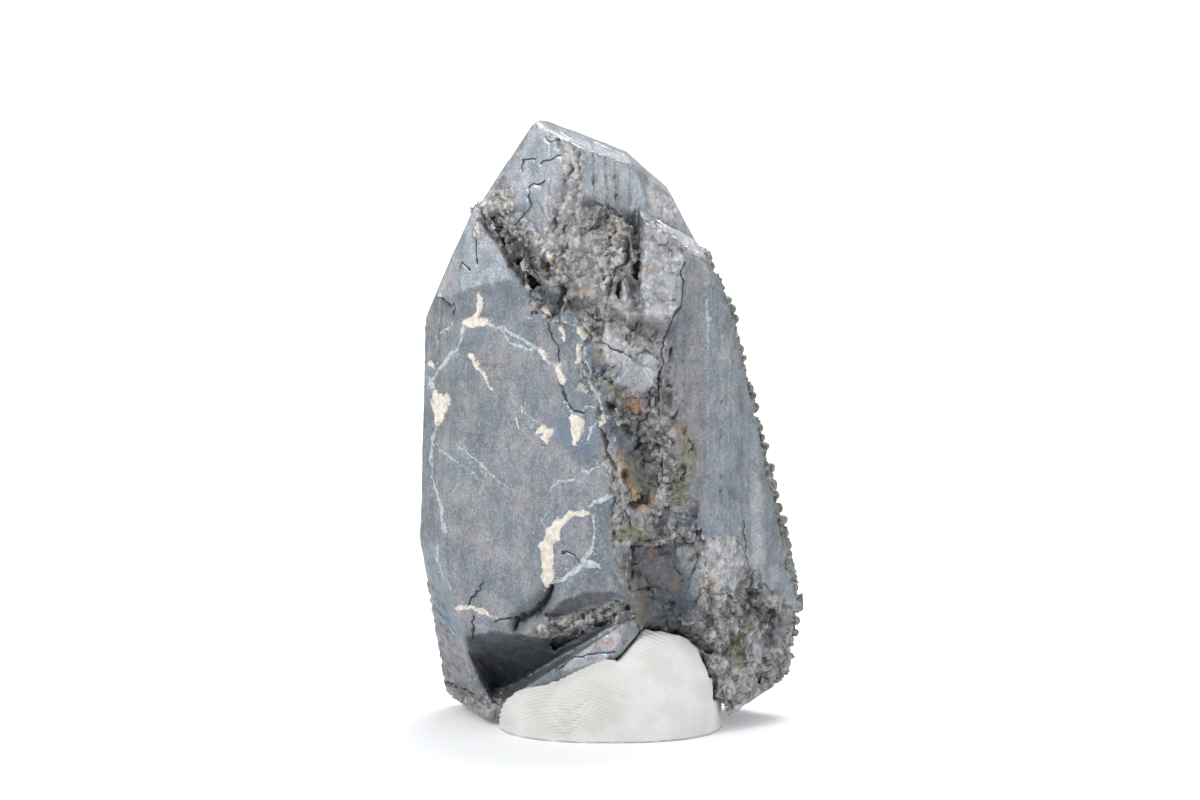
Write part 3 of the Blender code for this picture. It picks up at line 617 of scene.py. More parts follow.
def facet_areas(mesh):
    """For each face of the solid, the area in square millimetres of the flat facet it belongs to."""
    facets = {}
    keys = []
    for face in mesh.polygons:
        normal = face.normal
        key = tuple(round(part * 60) for part in normal) + (round(normal.dot(face.center) / MM * 5),)
        keys.append(key)
        facets[key] = facets.get(key, 0) + face.area / MM ** 2
    return np.array([facets[key] for key in keys])


def point_normals(points, faces):
    """Unit normals of the points of a mesh of four-sided faces."""
    a, b, c, d = (points[faces[:, corner]] for corner in range(4))
    across = np.cross(c - a, d - b)
    normals = np.zeros_like(points)
    for corner in range(4):
        for axis in range(3):
            normals[:, axis] += np.bincount(faces[:, corner], across[:, axis], len(points))
    return normals / np.maximum(np.linalg.norm(normals, axis=1, keepdims=True), 1e-12)


def smoothed(values, faces, rounds, share=None):
    """Values of points, or the points themselves, averaged with their neighbours' some rounds over."""
    flat = values.reshape(len(values), -1).astype(float)
    edges = np.vstack([faces[:, [corner, (corner + 1) % 4]] for corner in range(4)])
    count = np.bincount(edges[:, 0], minlength=len(flat))
    for _ in range(rounds):
        around = np.column_stack([
            np.bincount(edges[:, 0], flat[edges[:, 1], column], len(flat))
            for column in range(flat.shape[1])
        ]) / np.maximum(count, 1)[:, None]
        mixed = 0.5 if share is None else 0.5 * share[:, None]
        flat += (around - flat) * mixed
    return flat.reshape(values.shape)


def piece_sets(points, faces, most):
    """Splits the faces into pieces of at most so many, by halving along the longest side."""
    centres = points[faces].mean(axis=1)
    waiting = [np.arange(len(faces))]
    done = []
    while waiting:
        group = waiting.pop()
        if len(group) <= most:
            done.append(group)
            continue
        spans = centres[group].max(axis=0) - centres[group].min(axis=0)
        axis = int(np.argmax(spans))
        order = np.argsort(centres[group, axis], kind="stable")
        middle = len(group) // 2
        waiting += [group[order[:middle]], group[order[middle:]]]
    return done


def make_piece(name, points, faces, fields):
    """A closed mesh object of these faces, with the fields as point attributes."""
    used, local = np.unique(faces, return_inverse=True)
    local = local.reshape(faces.shape)
    place = points[used]
    starts = local.ravel()
    ends = np.roll(local, -1, axis=1).ravel()
    count = len(used)
    forward = starts.astype(np.int64) * count + ends
    backward = ends.astype(np.int64) * count + starts
    open_edge = ~np.isin(forward, backward)
    rim = np.column_stack((starts[open_edge], ends[open_edge]))
    group = {}
    for start, end in rim:
        low, high = find_root(group, start), find_root(group, end)
        group[high] = low
    loops = {}
    for start, end in rim:
        loops.setdefault(find_root(group, start), []).append((start, end))
    extra = []
    fans = []
    for pairs in loops.values():
        middle = count + len(extra)
        extra.append(place[[start for start, _ in pairs]].mean(axis=0))
        fans += [(end, start, middle) for start, end in pairs]
    if extra:
        place = np.vstack((place, extra))
    mesh = bpy.data.meshes.new(name)
    mesh.from_pydata((place * MM).tolist(), [], local.tolist() + fans)
    for field, values in fields.items():
        kept = np.concatenate((values[used], np.zeros((len(extra),) + values.shape[1:])))
        kind, key = ("FLOAT_VECTOR", "vector") if values.ndim == 2 else ("FLOAT", "value")
        attribute = mesh.attributes.new(field, kind, "POINT")
        attribute.data.foreach_set(key, kept.astype(np.float32).ravel())
    mesh.shade_smooth()
    mesh.set_sharp_from_angle(angle=math.radians(SHARP_SURFACE))
    return add_object(name, mesh)


def add_object(name, data):
    """A new object of the scene with this mesh, lamp or camera."""
    thing = bpy.data.objects.new(name, data)
    bpy.context.scene.collection.objects.link(thing)
    return thing


def find_root(group, item):
    """The first item of the group that this one has been joined to."""
    while item in group and group[item] != item:
        item = group[item]
    group.setdefault(item, item)
    return item


def fields_of_strokes(points, spots, ragged, seen):
    """Cracks, gaps, veins, clay and stains on what the camera sees; cracks, gaps and near-black carry
    painted shade.
    """
    wobble = [
        2.4 * noise(points, 0.9, 101 + axis) + 1.3 * noise(points, 0.38, 111 + axis)
        for axis in range(2)
    ]
    bent = spots + np.column_stack(wobble)
    crack_out, crack_side = stroke_distance(spots + 1.2 * (bent - spots), CRACKS, 8)
    gap_out, _ = stroke_distance(spots + 1.3 * (bent - spots), GAPS, 10)
    vein_out, vein_side = stroke_distance(bent, VEINS, 12)
    clay_out, _ = stroke_distance(spots + 1.3 * (bent - spots), CLAY, 14)
    clay = -clay_out + 0.45 * ragged
    hidden = ~seen
    for field in (crack_out, gap_out, vein_out):
        field[hidden] = 12.0
    clay[hidden] = -12.0
    stains_and_shade = []
    for strokes, soft in ((RUST, 3.0), (BLUE, 6.0), (OLIVE, 4.0), (DARK_AND_SHADE, 8.0)):
        out, _ = stroke_distance(spots, strokes, 20)
        stains_and_shade.append(seen * ramp(-out + 1.1 * ragged, -soft, soft * 0.6))
    return crack_out, crack_side, gap_out, vein_out, vein_side, clay, stains_and_shade


def rubble_relief(points, blocks, warp):
    """Height, crevices and the fragments' own numbers where the crystal is crushed; the crevices get
    painted shade.
    """
    bent = points + warp
    coarse, coarse_rim, coarse_own = chips(bent, (1.6, 1.6, 2.2), 11, 0.24, 0.40)
    middle, middle_rim, middle_own = chips(bent, (0.75, 0.75, 1.05), 21, 0.11, 0.50)
    fine, fine_rim, fine_own = chips(bent, (0.36, 0.36, 0.50), 31, 0.05, 0.40)
    height = (0.45 + 0.7 * blocks) * coarse + middle + (1.15 - 0.75 * blocks) * fine
    open_rim = ramp(noise(points, 1.4, 44), -0.3, 0.4)
    crevice = 0.30 * (1 - ramp(coarse_rim, 0.0, 0.08)) * ramp(blocks + 0.5 * open_rim, 0.1, 0.8)
    crevice += 0.13 * open_rim * (1 - ramp(middle_rim, 0.0, 0.12))
    crevice += 0.05 * (1 - ramp(fine_rim, 0.0, 0.20)) * (1 - 0.6 * blocks)
    own = 0.34 * coarse_own + 0.36 * middle_own + 0.30 * fine_own
    # The crevice mask returned here paints the crevices' shade in black.
    return height - crevice, np.clip(crevice / 0.28, 0, 1), own


def box_limits(name):
    """The lowest and highest corner of a node's mesh, in millimetres."""
    corners = np.array([vert.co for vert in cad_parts[name].data.vertices]) / MM
    return corners.min(axis=0), corners.max(axis=0)


def with_cuts_filled(points, ragged):
    """Raises the floor of the cuts that go deeper than the stone's own. Also says where it did."""
    spots, _ = to_photo(points)
    filled = np.zeros(len(points))
    for outline, floor in FILLS:
        share = area_share(spots, outline, 1.5, 0.6 * ragged)
        below = (FACE_POINT - points) @ FACE_NORMAL
        share *= 1 - ramp(below, FILL_REACH, FILL_REACH + 1.5)
        points = points + np.outer(share * np.clip(below - floor, 0, FILL_MOST), FACE_NORMAL)
        filled = np.maximum(filled, share * ramp(below, 0, 0.3))
    return points, filled


def with_foot_and_druse(points, normals, broken):
    """Adds the broken foot of the back, and takes out what small crystals cover instead."""
    across, back, up = points.T
    foot = ramp(back, 1.5, 3.5) * ramp(-up + 3.0 * noise(points, 4.0, 6), -15.5, -13.5)
    foot *= ramp(normals[:, 1], -0.3, 0.2) * ramp(across, -15.0, -13.0)
    broken = np.maximum(broken, foot * ramp(noise(points, 5.0, 7), -0.55, -0.25))
    right = ramp(across, 8.5, 10.0) * ramp(back, -8.0, -6.5) * ramp(normals[:, 0], -0.2, 0.3)
    behind = ramp(back, 1.0, 3.0) * (1 - foot)
    side = np.maximum(right, behind) * ramp(up, 12.0, 15.0)
    side *= 1 - ramp(up, BARE_HEIGHT, BARE_HEIGHT + 1.5) * ramp(across, 4.0, 6.0)
    drusy = broken * side
    broken = broken * (1 - side)
    bare = ramp(back, -3.5, -1.5) * ramp(across, 9.0, 10.5) * ramp(normals[:, 0], 0.75, 0.9)
    drusy = np.maximum(drusy, bare * ramp(noise(points, 4.5, 8), -0.35, 0.05) * (1 - broken))
    return broken, drusy


def with_zones_drawn(points, spots, seen, ragged, broken, drusy):
    """Adds the crushed and the calm zones of the front.

    Returns how broken and how drusy the stone is, how coarse its fragments are, how worn it was before
    the calm zones were rubbed smooth, and where those are.
    """
    blocks = 0.5 + 0.5 * noise(points, 9.0, 5)
    for outline, coarseness, strength in CRUSHED:
        share = seen * area_share(spots, outline, 2.5, ragged)
        broken = np.maximum(broken * (1 - share), share * strength)
        blocks = blocks + (coarseness - blocks) * share
    worn = broken
    calm = np.zeros(len(points))
    for outline, strength in CALM:
        share = seen * area_share(spots, outline, 2.5, ragged)
        broken = broken * (1 - share) + share * strength
        drusy = drusy * (1 - share)
        calm = np.maximum(calm, share)
    return broken, drusy, blocks, worn, calm


def tones_and_painted_light_drawn(spots, seen, ragged):
    """Lightness and cast of the zones that have a tone of their own; the lightness is partly painted light
    and shade.
    """
    lightness_with_painted_light = np.ones(len(spots))
    cast = np.zeros(len(spots))
    for outline, light, hue, soft in TONES_AND_PAINTED_LIGHT:
        share = seen * area_share(spots, outline, soft, 0.5 * ragged)
        lightness_with_painted_light += (light - lightness_with_painted_light) * share
        cast += (hue - cast) * share
    return lightness_with_painted_light, cast


def face_relief(points, edge):
    """Height of the smooth faces, and a number for each of their growth steps.

    They have flat steps, a slight swell, striae up and down, and edges that are nicked.
    """
    flake, _, own = chips(points, (4.5, 4.5, 7.0), 51, 0.018, 0.012)
    height = flake + 0.012 * layered(points, 1.6, 55)
    height += 0.014 * noise(points, (0.9, 0.9, 14.0), 58) + 0.007 * noise(points, (0.3, 0.3, 5.0), 59)
    nick = ramp(noise(points, 0.9, 56) + 0.5 * noise(points, 0.35, 57), -0.1, 0.8)
    height -= 0.14 * edge * nick + 0.03 * edge
    return height, own


def crust_relief(points):
    """Height of the crust of tiny grains between the druse crystals, and the grains' own numbers."""
    height, rim, own = chips(points, (0.8, 0.8, 0.8), 61, 0.06, 0.20)
    return height - 0.08 * (1 - ramp(rim, 0.0, 0.2)), own


def fibres_drawn(points, spots, seen, ragged):
    """Where the crushed rock is drawn out, and the height of its fibres."""
    out, side = stroke_distance(spots + 2.2 * ragged[:, None], FIBRES, 6)
    strand = np.column_stack((side * PIXEL, 0.12 * points[:, 0], 0.12 * points[:, 2]))
    return seen * ramp(-out, -2.0, 4.0), layered(strand, 0.42, 38, 2)


def rib_relief(points, spots, normals, ragged):
    """Height of the ribs across the left edge near the foot."""
    turn = (spots[:, 1] - RIB_LEAN * spots[:, 0] + 1.5 * ragged) * 2 * math.pi / RIB_STEP
    share = area_share(spots, RIB_ZONE, 4.0, 0.5 * ragged) * ramp(-normals[:, 1], -0.5, -0.1)
    return RIB_HEIGHT * share * np.sin(turn) * (0.6 + 0.6 * noise(points, 2.0, 60))


def crystal_surface():
    """The crystal's points, faces, fields and normals, with its relief."""
    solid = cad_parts["ferberite_crystal"]
    points, faces, under = fine_mesh(solid, CRYSTAL_CELL)
    area = facet_areas(solid.data)[under]
    broken = smoothed((area < CRYSTAL_FACE_AREA).astype(float), faces, 4)

    ragged = 3.0 * noise(points, 1.1, 3) + 1.6 * noise(points, 0.4, 4)
    points, filled = with_cuts_filled(points, ragged)
    points = smoothed(points, faces, 40, filled)
    broken = np.maximum(broken, 0.9 * filled)

    spots, depth = to_photo(points)
    normals = point_normals(points, faces)
    seen = in_sight(spots, depth, -(normals @ FORWARD), faces)
    broken, drusy = with_foot_and_druse(points, normals, broken)
    zones = with_zones_drawn(points, spots, seen, ragged, broken, drusy)
    broken, drusy, blocks, worn, calm = zones
    lightness_with_painted_light, cast = tones_and_painted_light_drawn(spots, seen, ragged)

    points = smoothed(points, faces, 26, ramp(worn, 0.15, 0.7))
    points = smoothed(points, faces, 60, calm)
    sharp = point_normals(points, faces)
    normals = smoothed(sharp, faces, 3)
    normals /= np.linalg.norm(normals, axis=1, keepdims=True)
    wide = smoothed(sharp, faces, 14)
    edge = ramp(1 - np.linalg.norm(wide, axis=1), 0.01, 0.10)

    warp = 0.5 * np.column_stack([noise(points, 2.4, 35 + axis) for axis in range(3)])
    rough, crevice, own = rubble_relief(points, blocks, warp)
    fibrous, fibre = fibres_drawn(points, spots, seen, ragged)
    rough = rough * (1 - 0.45 * fibrous) + 0.10 * fibre * fibrous
    even, flake_own = face_relief(points, edge)
    crust, grain_own = crust_relief(points)
    height = broken * (rough - 0.10) + (1 - broken) * (even * (1 - drusy) + crust * drusy)
    height += rib_relief(points, spots, normals, ragged)

    strokes = fields_of_strokes(points, spots, ragged, seen)
    crack_out, crack_side, gap_out, vein_out, vein_side, clay, stains_and_shade = strokes
    rust, blue, olive, dark_and_shade = stains_and_shade
    height -= CRACK_DEPTH * (1 - ramp(crack_out, -0.4, 1.2))
    height -= GAP_DEPTH * (1 - ramp(gap_out, -2.5, 1.2))
    height += VEIN_HEIGHT * (1 - ramp(vein_out, -0.6, 0.8))
    height += (CLAY_HEIGHT + 0.04 * layered(points, 0.5, 71, 2)) * ramp(clay, -0.3, 1.1)
    height += OLIVE_HEIGHT * olive * np.abs(noise(points, 0.45, 81))

    points = np.clip(points + normals * height[:, None], *box_limits("ferberite_crystal"))
    # Where the gaps' shade is painted.
    gap_shade = 1 - ramp(gap_out, -2.0, 1.6)
    own = broken * own + (1 - broken) * (drusy * grain_own + (1 - drusy) * flake_own)
    fields = {
        # The third part of the zone marks the crevices whose shade is painted.
        "zone": np.column_stack((broken, drusy, broken * crevice)),
        # The tone's lightness is partly painted light and shade.
        "tone_and_light": np.column_stack((lightness_with_painted_light, cast, own)),
        "crack": np.column_stack((crack_side, crack_out, gap_shade)),
        "vein": np.column_stack((vein_side, vein_out, fibrous * fibre)),
        "clay": clay,
        "stain_and_shade": np.column_stack((rust, blue, dark_and_shade)),
        "olive": olive,
    }
    return points, faces, fields, normals


def shader_node(tree, kind, inputs=None, **settings):
    """A node with its settings and inputs given; an input is a value or another node's output."""
    node = tree.nodes.new(kind)
    for name, value in settings.items():
        setattr(node, name, value)
    for key, value in (inputs or {}).items():
        if isinstance(value, bpy.types.NodeSocket):
            tree.links.new(value, node.inputs[key])
        else:
            node.inputs[key].default_value = value
    return node


class Paint:
    """Short names for the shader nodes that the materials are made of."""

    def __init__(self, name):
        self.material = bpy.data.materials.new(name)
        self.material.use_nodes = True
        self.tree = self.material.node_tree
        self.shader = self.tree.nodes["Principled BSDF"]
        self.place = shader_node(self.tree, "ShaderNodeTexCoord").outputs["Object"]

    def math(self, operation, first, second=0.0):
        """Arithmetic on two numbers."""
        values = {0: first, 1: second}
        return shader_node(self.tree, "ShaderNodeMath", values, operation=operation).outputs[0]

    def times(self, first, second):
        """The product of two numbers."""
        return self.math("MULTIPLY", first, second)

    def attribute(self, name, part=None):
        """A point attribute of the mesh, or one part of it."""
        node = shader_node(self.tree, "ShaderNodeAttribute", attribute_name=name)
        if part is None:
            return node.outputs["Fac"]
        split = shader_node(self.tree, "ShaderNodeSeparateXYZ", {0: node.outputs["Vector"]})
        return split.outputs[part]

    def noise(self, size, detail=4.0, stretch=(1, 1, 1), rough=0.55):
        """Noise whose features are about size millimetres wide, drawn out by stretch."""
        scale = [1 / (size * MM * part) for part in stretch]
        moved = shader_node(self.tree, "ShaderNodeMapping", {"Vector": self.place, "Scale": scale})
        inputs = {"Vector": moved.outputs[0], "Scale": 1.0, "Detail": detail, "Roughness": rough}
        return shader_node(self.tree, "ShaderNodeTexNoise", inputs).outputs["Fac"]

    def cells(self, size, feature="F1", bent=0.0, output="Distance"):
        """Distances in a pattern of cells about size millimetres wide, bent by so many cells."""
        inputs = {"Vector": self.place, "Scale": [1 / (size * MM)] * 3}
        moved = shader_node(self.tree, "ShaderNodeMapping", inputs).outputs[0]
        inputs = {"Vector": moved, "Scale": 1.3, "Detail": 4.0, "Roughness": 0.6}
        swirl = shader_node(self.tree, "ShaderNodeTexNoise", inputs).outputs["Color"]
        inputs = {0: swirl, 1: (bent, bent, bent), 2: moved}
        moved = shader_node(self.tree, "ShaderNodeVectorMath", inputs, operation="MULTIPLY_ADD")
        inputs = {"Vector": moved.outputs[0], "Scale": 1.0}
        node = shader_node(self.tree, "ShaderNodeTexVoronoi", inputs, feature=feature)
        if output == "Color":
            return shader_node(self.tree, "ShaderNodeSeparateXYZ", {0: node.outputs[output]}).outputs[0]
        return node.outputs[output]

    def range(self, value, start, end, low=0.0, high=1.0):
        """Maps start to end onto low to high, smoothly and without going past."""
        inputs = {"Value": value, "From Min": start, "From Max": end, "To Min": low, "To Max": high}
        node = shader_node(self.tree, "ShaderNodeMapRange", inputs, interpolation_type="SMOOTHSTEP")
        return node.outputs["Result"]

    def mix(self, share, first, second):
        """One colour over another; a colour is (red, green, blue) or an output."""
        node = shader_node(self.tree, "ShaderNodeMix", data_type="RGBA")
        for key, value in ((0, share), (6, first), (7, second)):
            if isinstance(value, bpy.types.NodeSocket):
                self.tree.links.new(value, node.inputs[key])
            elif key:
                node.inputs[key].default_value = (*value, 1.0)
            else:
                node.inputs[key].default_value = value
        return node.outputs[2]

    def bump(self, height, depth, under=None):
        """Bumps the surface; depth is in millimetres for a height of one."""
        inputs = {"Height": height, "Strength": 1.0, "Distance": depth * MM}
        if under is not None:
            inputs["Normal"] = under
        return shader_node(self.tree, "ShaderNodeBump", inputs).outputs["Normal"]

    def connect(self, **sockets):
        """Feeds the shader's inputs; underscores in a name stand for spaces."""
        for name, value in sockets.items():
            socket = self.shader.inputs[name.replace("_", " ")]
            if isinstance(value, bpy.types.NodeSocket):
                self.tree.links.new(value, socket)
            else:
                socket.default_value = value
        return self.material


def face_colour(paint, own):
    """Blue-grey to lilac-grey, with dark and pale grain, scratches, painted highlights as gleams and a fine
    crackle.
    """
    times = paint.times
    hue = paint.math("ADD", paint.noise(2.8, 8, rough=0.74), times(paint.attribute("tone_and_light", 1), 0.13))
    hue = paint.math("ADD", hue, times(paint.math("SUBTRACT", own, 0.5), 0.05))
    colour = paint.mix(paint.range(hue, 0.41, 0.60), BLUE_GREY, LILAC_GREY)
    grain = paint.noise(0.20, 5, rough=0.75)
    colour = paint.mix(times(paint.range(grain, 0.50, 0.68), 0.70), colour, DARK_GRAIN)
    colour = paint.mix(times(paint.range(grain, 0.46, 0.32), 0.60), colour, PALE_GRAIN)
    scratch = paint.range(paint.noise(0.16, 3, (1, 1, 9)), 0.60, 0.70)
    colour = paint.mix(times(scratch, 0.40), colour, SCRATCH)
    across = paint.range(paint.noise(0.15, 3, (6, 6, 1)), 0.62, 0.72)
    across = times(across, paint.range(paint.noise(3.0, 3), 0.48, 0.60))
    colour = paint.mix(times(across, 0.45), colour, DARK_GRAIN)
    # Painted highlight: pale streaks along the striae stand for light that gleams on them.
    painted_gleam = paint.range(paint.noise(0.20, 3, (1, 1, 10)), 0.62, 0.74)
    colour = paint.mix(times(painted_gleam, 0.14), colour, PAINTED_GLEAM)
    crackle = paint.range(paint.cells(1.5, feature="DISTANCE_TO_EDGE", bent=0.9), 0.030, 0.008)
    crackle = times(crackle, paint.range(paint.noise(2.2, 3), 0.46, 0.60))
    return paint.mix(times(crackle, 0.55), colour, CRACKLE)


def rock_colour(paint, own, sliver):
    """Crushed rock: each fragment has a grey of its own, some are brown, and the seams and crevices are
    painted black as shade.
    """
    times = paint.times
    grit = paint.noise(0.17, 4, rough=0.7)
    shard = paint.math("ADD", own, times(paint.math("SUBTRACT", grit, 0.5), 0.7))
    shard = paint.math("ADD", shard, times(paint.math("SUBTRACT", sliver, 0.5), 0.5))
    colour = paint.mix(paint.range(shard, 0.15, 0.85), ROCK_DARK, ROCK_PALE)
    brown = paint.range(paint.noise(1.1, 5, rough=0.65), 0.56, 0.68)
    colour = paint.mix(times(brown, 0.55), colour, ROCK_BROWN)
    fibre = paint.range(paint.attribute("vein", 2), -0.5, 0.5, -0.5, 0.5)
    colour = paint.mix(paint.math("ABSOLUTE", fibre), colour, ROCK_FIBRE)
    # Painted shade: the seams between fragments and the crevices are darkened to black.
    seam_shade = paint.range(paint.cells(0.42, feature="DISTANCE_TO_EDGE", bent=0.7), 0.06, 0.01)
    seam_shade = times(seam_shade, paint.range(paint.noise(0.9, 3), 0.42, 0.62))
    crevice = paint.math("MAXIMUM", paint.attribute("zone", 2), seam_shade)
    return paint.mix(times(crevice, 0.80), colour, CREVICE_SHADE_BLACK)


def stained_and_shaded(paint, colour, speckle):
    """Rust, blue tarnish, olive crust and near-black over a colour; the near-black is partly painted shade.
    """
    times = paint.times
    rust = paint.mix(speckle, RUST_DARK, RUST_PALE)
    share = times(paint.attribute("stain_and_shade", 0), paint.range(speckle, 0.40, 0.56))
    colour = paint.mix(times(share, 0.85), colour, rust)
    colour = paint.mix(times(paint.attribute("stain_and_shade", 1), 0.45), colour, TARNISH_BLUE)
    olive = paint.mix(speckle, OLIVE_DARK, OLIVE_PALE)
    colour = paint.mix(times(paint.attribute("olive"), 0.75), colour, olive)
    return paint.mix(times(paint.attribute("stain_and_shade", 2), 0.60), colour, STAIN_AND_SHADE_BLACK)


def vein_share(paint, wander):
    """Where the pale veins are, with the spatter beside them."""
    side = paint.math("ABSOLUTE", paint.attribute("vein", 0))
    out = paint.math("ADD", paint.attribute("vein", 1), wander)
    vein = paint.math("SUBTRACT", 1.0, paint.range(out, -0.5, 0.5))
    vein = paint.times(vein, paint.range(side, 3.6, 2.2))
    near = paint.range(paint.attribute("vein", 1), 10.0, 2.0)
    spatter = paint.times(near, paint.range(paint.noise(0.24, 3), 0.59, 0.65))
    return paint.math("MAXIMUM", vein, paint.times(spatter, 0.8))


def clay_share(paint, wander):
    """Where the clay crusts are, with a crumbling border."""
    crumb = paint.times(paint.math("SUBTRACT", paint.noise(0.17, 4, rough=0.75), 0.5), 5.0)
    clay = paint.math("ADD", paint.attribute("clay"), paint.times(wander, 0.7))
    return paint.range(paint.math("ADD", clay, crumb), -0.2, 0.4)


def crack_share(paint, wander):
    """Where the hairline cracks and the gaps are, to paint their shade."""
    side = paint.math("ABSOLUTE", paint.attribute("crack", 0))
    side = paint.math("ADD", side, paint.times(wander, 0.25))
    out = paint.math("ADD", paint.attribute("crack", 1), paint.times(wander, 0.30))
    line = paint.times(paint.range(side, 1.2, 0.5), paint.range(out, 1.0, 0.2))
    return paint.math("MAXIMUM", line, paint.attribute("crack", 2))


def crystal_material():
    """Submetallic grey with blue and brown casts, dull where broken, marked by the mesh's fields."""
    paint = Paint("ferberite_surface")
    times = paint.times
    broken = paint.attribute("zone", 0)
    own = paint.attribute("tone_and_light", 2)
    sliver = paint.cells(0.42, output="Color", bent=0.7)
    colour = paint.mix(broken, face_colour(paint, own), rock_colour(paint, own, sliver))
    crust = paint.mix(own, CRUST_DARK, CRUST_PALE)
    colour = paint.mix(paint.attribute("zone", 1), colour, crust)
    cloud = paint.range(paint.noise(1.1, 7, (1, 1, 1.7), rough=0.72), 0.36, 0.64, 0.84, 1.16)
    cloud = paint.mix(broken, cloud, (1.0, 1.0, 1.0))
    # The lightness is partly painted light and shade.
    lightness_with_painted_light = times(paint.attribute("tone_and_light", 0), cloud)
    shade = shader_node(paint.tree, "ShaderNodeVectorMath", {0: colour}, operation="SCALE")
    paint.tree.links.new(lightness_with_painted_light, shade.inputs["Scale"])

    speckle = paint.noise(0.3, 4, rough=0.7)
    colour = stained_and_shaded(paint, shade.outputs[0], speckle)
    wander = times(paint.math("SUBTRACT", paint.noise(0.34, 4, rough=0.7), 0.5), 4.2)
    vein = vein_share(paint, wander)
    milk = paint.mix(paint.range(speckle, 0.42, 0.58), VEIN_BLUE, VEIN_WHITE)
    colour = paint.mix(times(vein, 0.85), colour, milk)
    clay = clay_share(paint, wander)
    cream = paint.mix(paint.range(paint.noise(0.5, 6, rough=0.65), 0.36, 0.62), CLAY_DARK, CLAY_PALE)
    colour = paint.mix(clay, colour, cream)
    # Painted shade: the cracks and gaps are darkened to near-black.
    crack_shade = crack_share(paint, wander)
    colour = paint.mix(times(crack_shade, 0.9), colour, CRACK_SHADE_BLACK)

    matt = paint.math("MAXIMUM", paint.math("MAXIMUM", vein, clay), crack_shade)
    shine = times(paint.math("SUBTRACT", 1.0, matt), paint.range(broken, 0.0, 1.0, 0.70, 0.35))
    roughness = paint.range(paint.noise(0.8, 4), 0.3, 0.7, 0.36, 0.52)
    dull = paint.math("MAXIMUM", times(matt, 0.4), times(broken, 0.10))
    roughness = paint.math("ADD", roughness, dull)

    normal = paint.bump(paint.noise(0.5, 3, (1, 1, 14)), 0.04)
    normal = paint.bump(paint.noise(0.15, 4, rough=0.65), 0.022, normal)
    normal = paint.bump(times(broken, paint.noise(0.16, 4, rough=0.7)), 0.07, normal)
    normal = paint.bump(times(broken, sliver), 0.045, normal)
    return paint.connect(Base_Color=colour, Metallic=shine, Roughness=roughness, Normal=normal)


def make_crystal():
    """The crystal's surface in a few closed pieces, for its size."""
    points, faces, fields, normals = crystal_surface()
    finish = crystal_material()
    for number, group in enumerate(piece_sets(points, faces, PIECE_CELLS), start=1):
        piece = make_piece(f"crystal_surface_{number}", points, faces[group], fields)
        piece.data.materials.append(finish)
        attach(piece, "root")
        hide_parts("ferberite_crystal")
    make_druse(points, normals, fields["zone"][:, 1])


def grain_shape(middle, half, draw):
    """A stout little crystal: a ball cut by flats. Returns its points and triangles."""
    mesh = bmesh.new()
    bmesh.ops.create_icosphere(mesh, subdivisions=2, radius=1.0)
    flats = [Vector([draw.gauss(0, 1) for _ in range(3)]).normalized() for _ in range(9)]
    reach = [draw.uniform(0.78, 0.94) for _ in flats]
    widest = (1.05, 1.05, 1.15)
    stretch = Vector([draw.uniform(0.85, most) for most in widest]) * half
    points = []
    for vert in mesh.verts:
        away = vert.co.normalized()
        far = min([1.0] + [d / away.dot(n) for n, d in zip(flats, reach) if away.dot(n) > 0.3])
        points.append(middle + np.array(away * far) * np.array(stretch))
    triangles = [[vert.index for vert in face.verts] for face in mesh.faces]
    mesh.free()
    return points, triangles


def druse_sites(points, normals, drusy):
    """Where the grains sit and their half width: those drawn along the edge, then others by chance."""
    draw = random.Random(GRAIN_SEED)
    spots, _ = to_photo(points)
    rightward = np.flatnonzero(normals[:, 0] > 0.35)
    sites = []
    for x, y, half in EDGE_GRAINS:
        apart = np.hypot(spots[rightward, 0] - x, spots[rightward, 1] - y)
        sites.append((points[rightward[np.argmin(apart)]], half * PIXEL))
    bare_shoulder = (points[:, 2] > BARE_HEIGHT) & (points[:, 0] > 5.0)
    grown = np.flatnonzero((drusy > 0.6) & (points[:, 1] > -2.5) & ~bare_shoulder)
    while len(sites) < GRAIN_COUNT:
        place = points[grown[draw.randrange(len(grown))]]
        half = draw.uniform(*GRAIN_HALF)
        if all(np.linalg.norm(place - other) > GRAIN_SPACING * (half + size) for other, size in sites):
            sites.append((place, half))
    return sites, draw


def make_druse(points, normals, drusy):
    """Small crystals that grew on the right side, on the back and along the right edge."""
    sites, draw = druse_sites(points, normals, drusy)
    low, high = box_limits("ferberite_crystal")
    verts = []
    triangles = []
    for place, half in sites:
        middle = np.clip(place, low + 1.15 * half, high - 1.15 * half)
        ball, sides = grain_shape(middle, half, draw)
        triangles += [[corner + len(verts) for corner in side] for side in sides]
        verts += ball
    mesh = bpy.data.meshes.new("druse_grains")
    mesh.from_pydata((np.array(verts) * MM).tolist(), [], triangles)
    mesh.shade_smooth()
    mesh.set_sharp_from_angle(angle=math.radians(SHARP_GRAIN))
    piece = add_object("druse_grains", mesh)
    paint = Paint("druse")
    dust = paint.noise(0.35, 5, rough=0.7)
    colour = paint.mix(paint.range(dust, 0.40, 0.62), DRUSE_DARK, DRUSE_PALE)
    normal = paint.bump(paint.noise(0.14, 4), 0.05)
    mesh.materials.append(paint.connect(Base_Color=colour, Metallic=0.3, Roughness=0.5, Normal=normal))
    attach(piece, "root")
    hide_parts("ferberite_crystal")


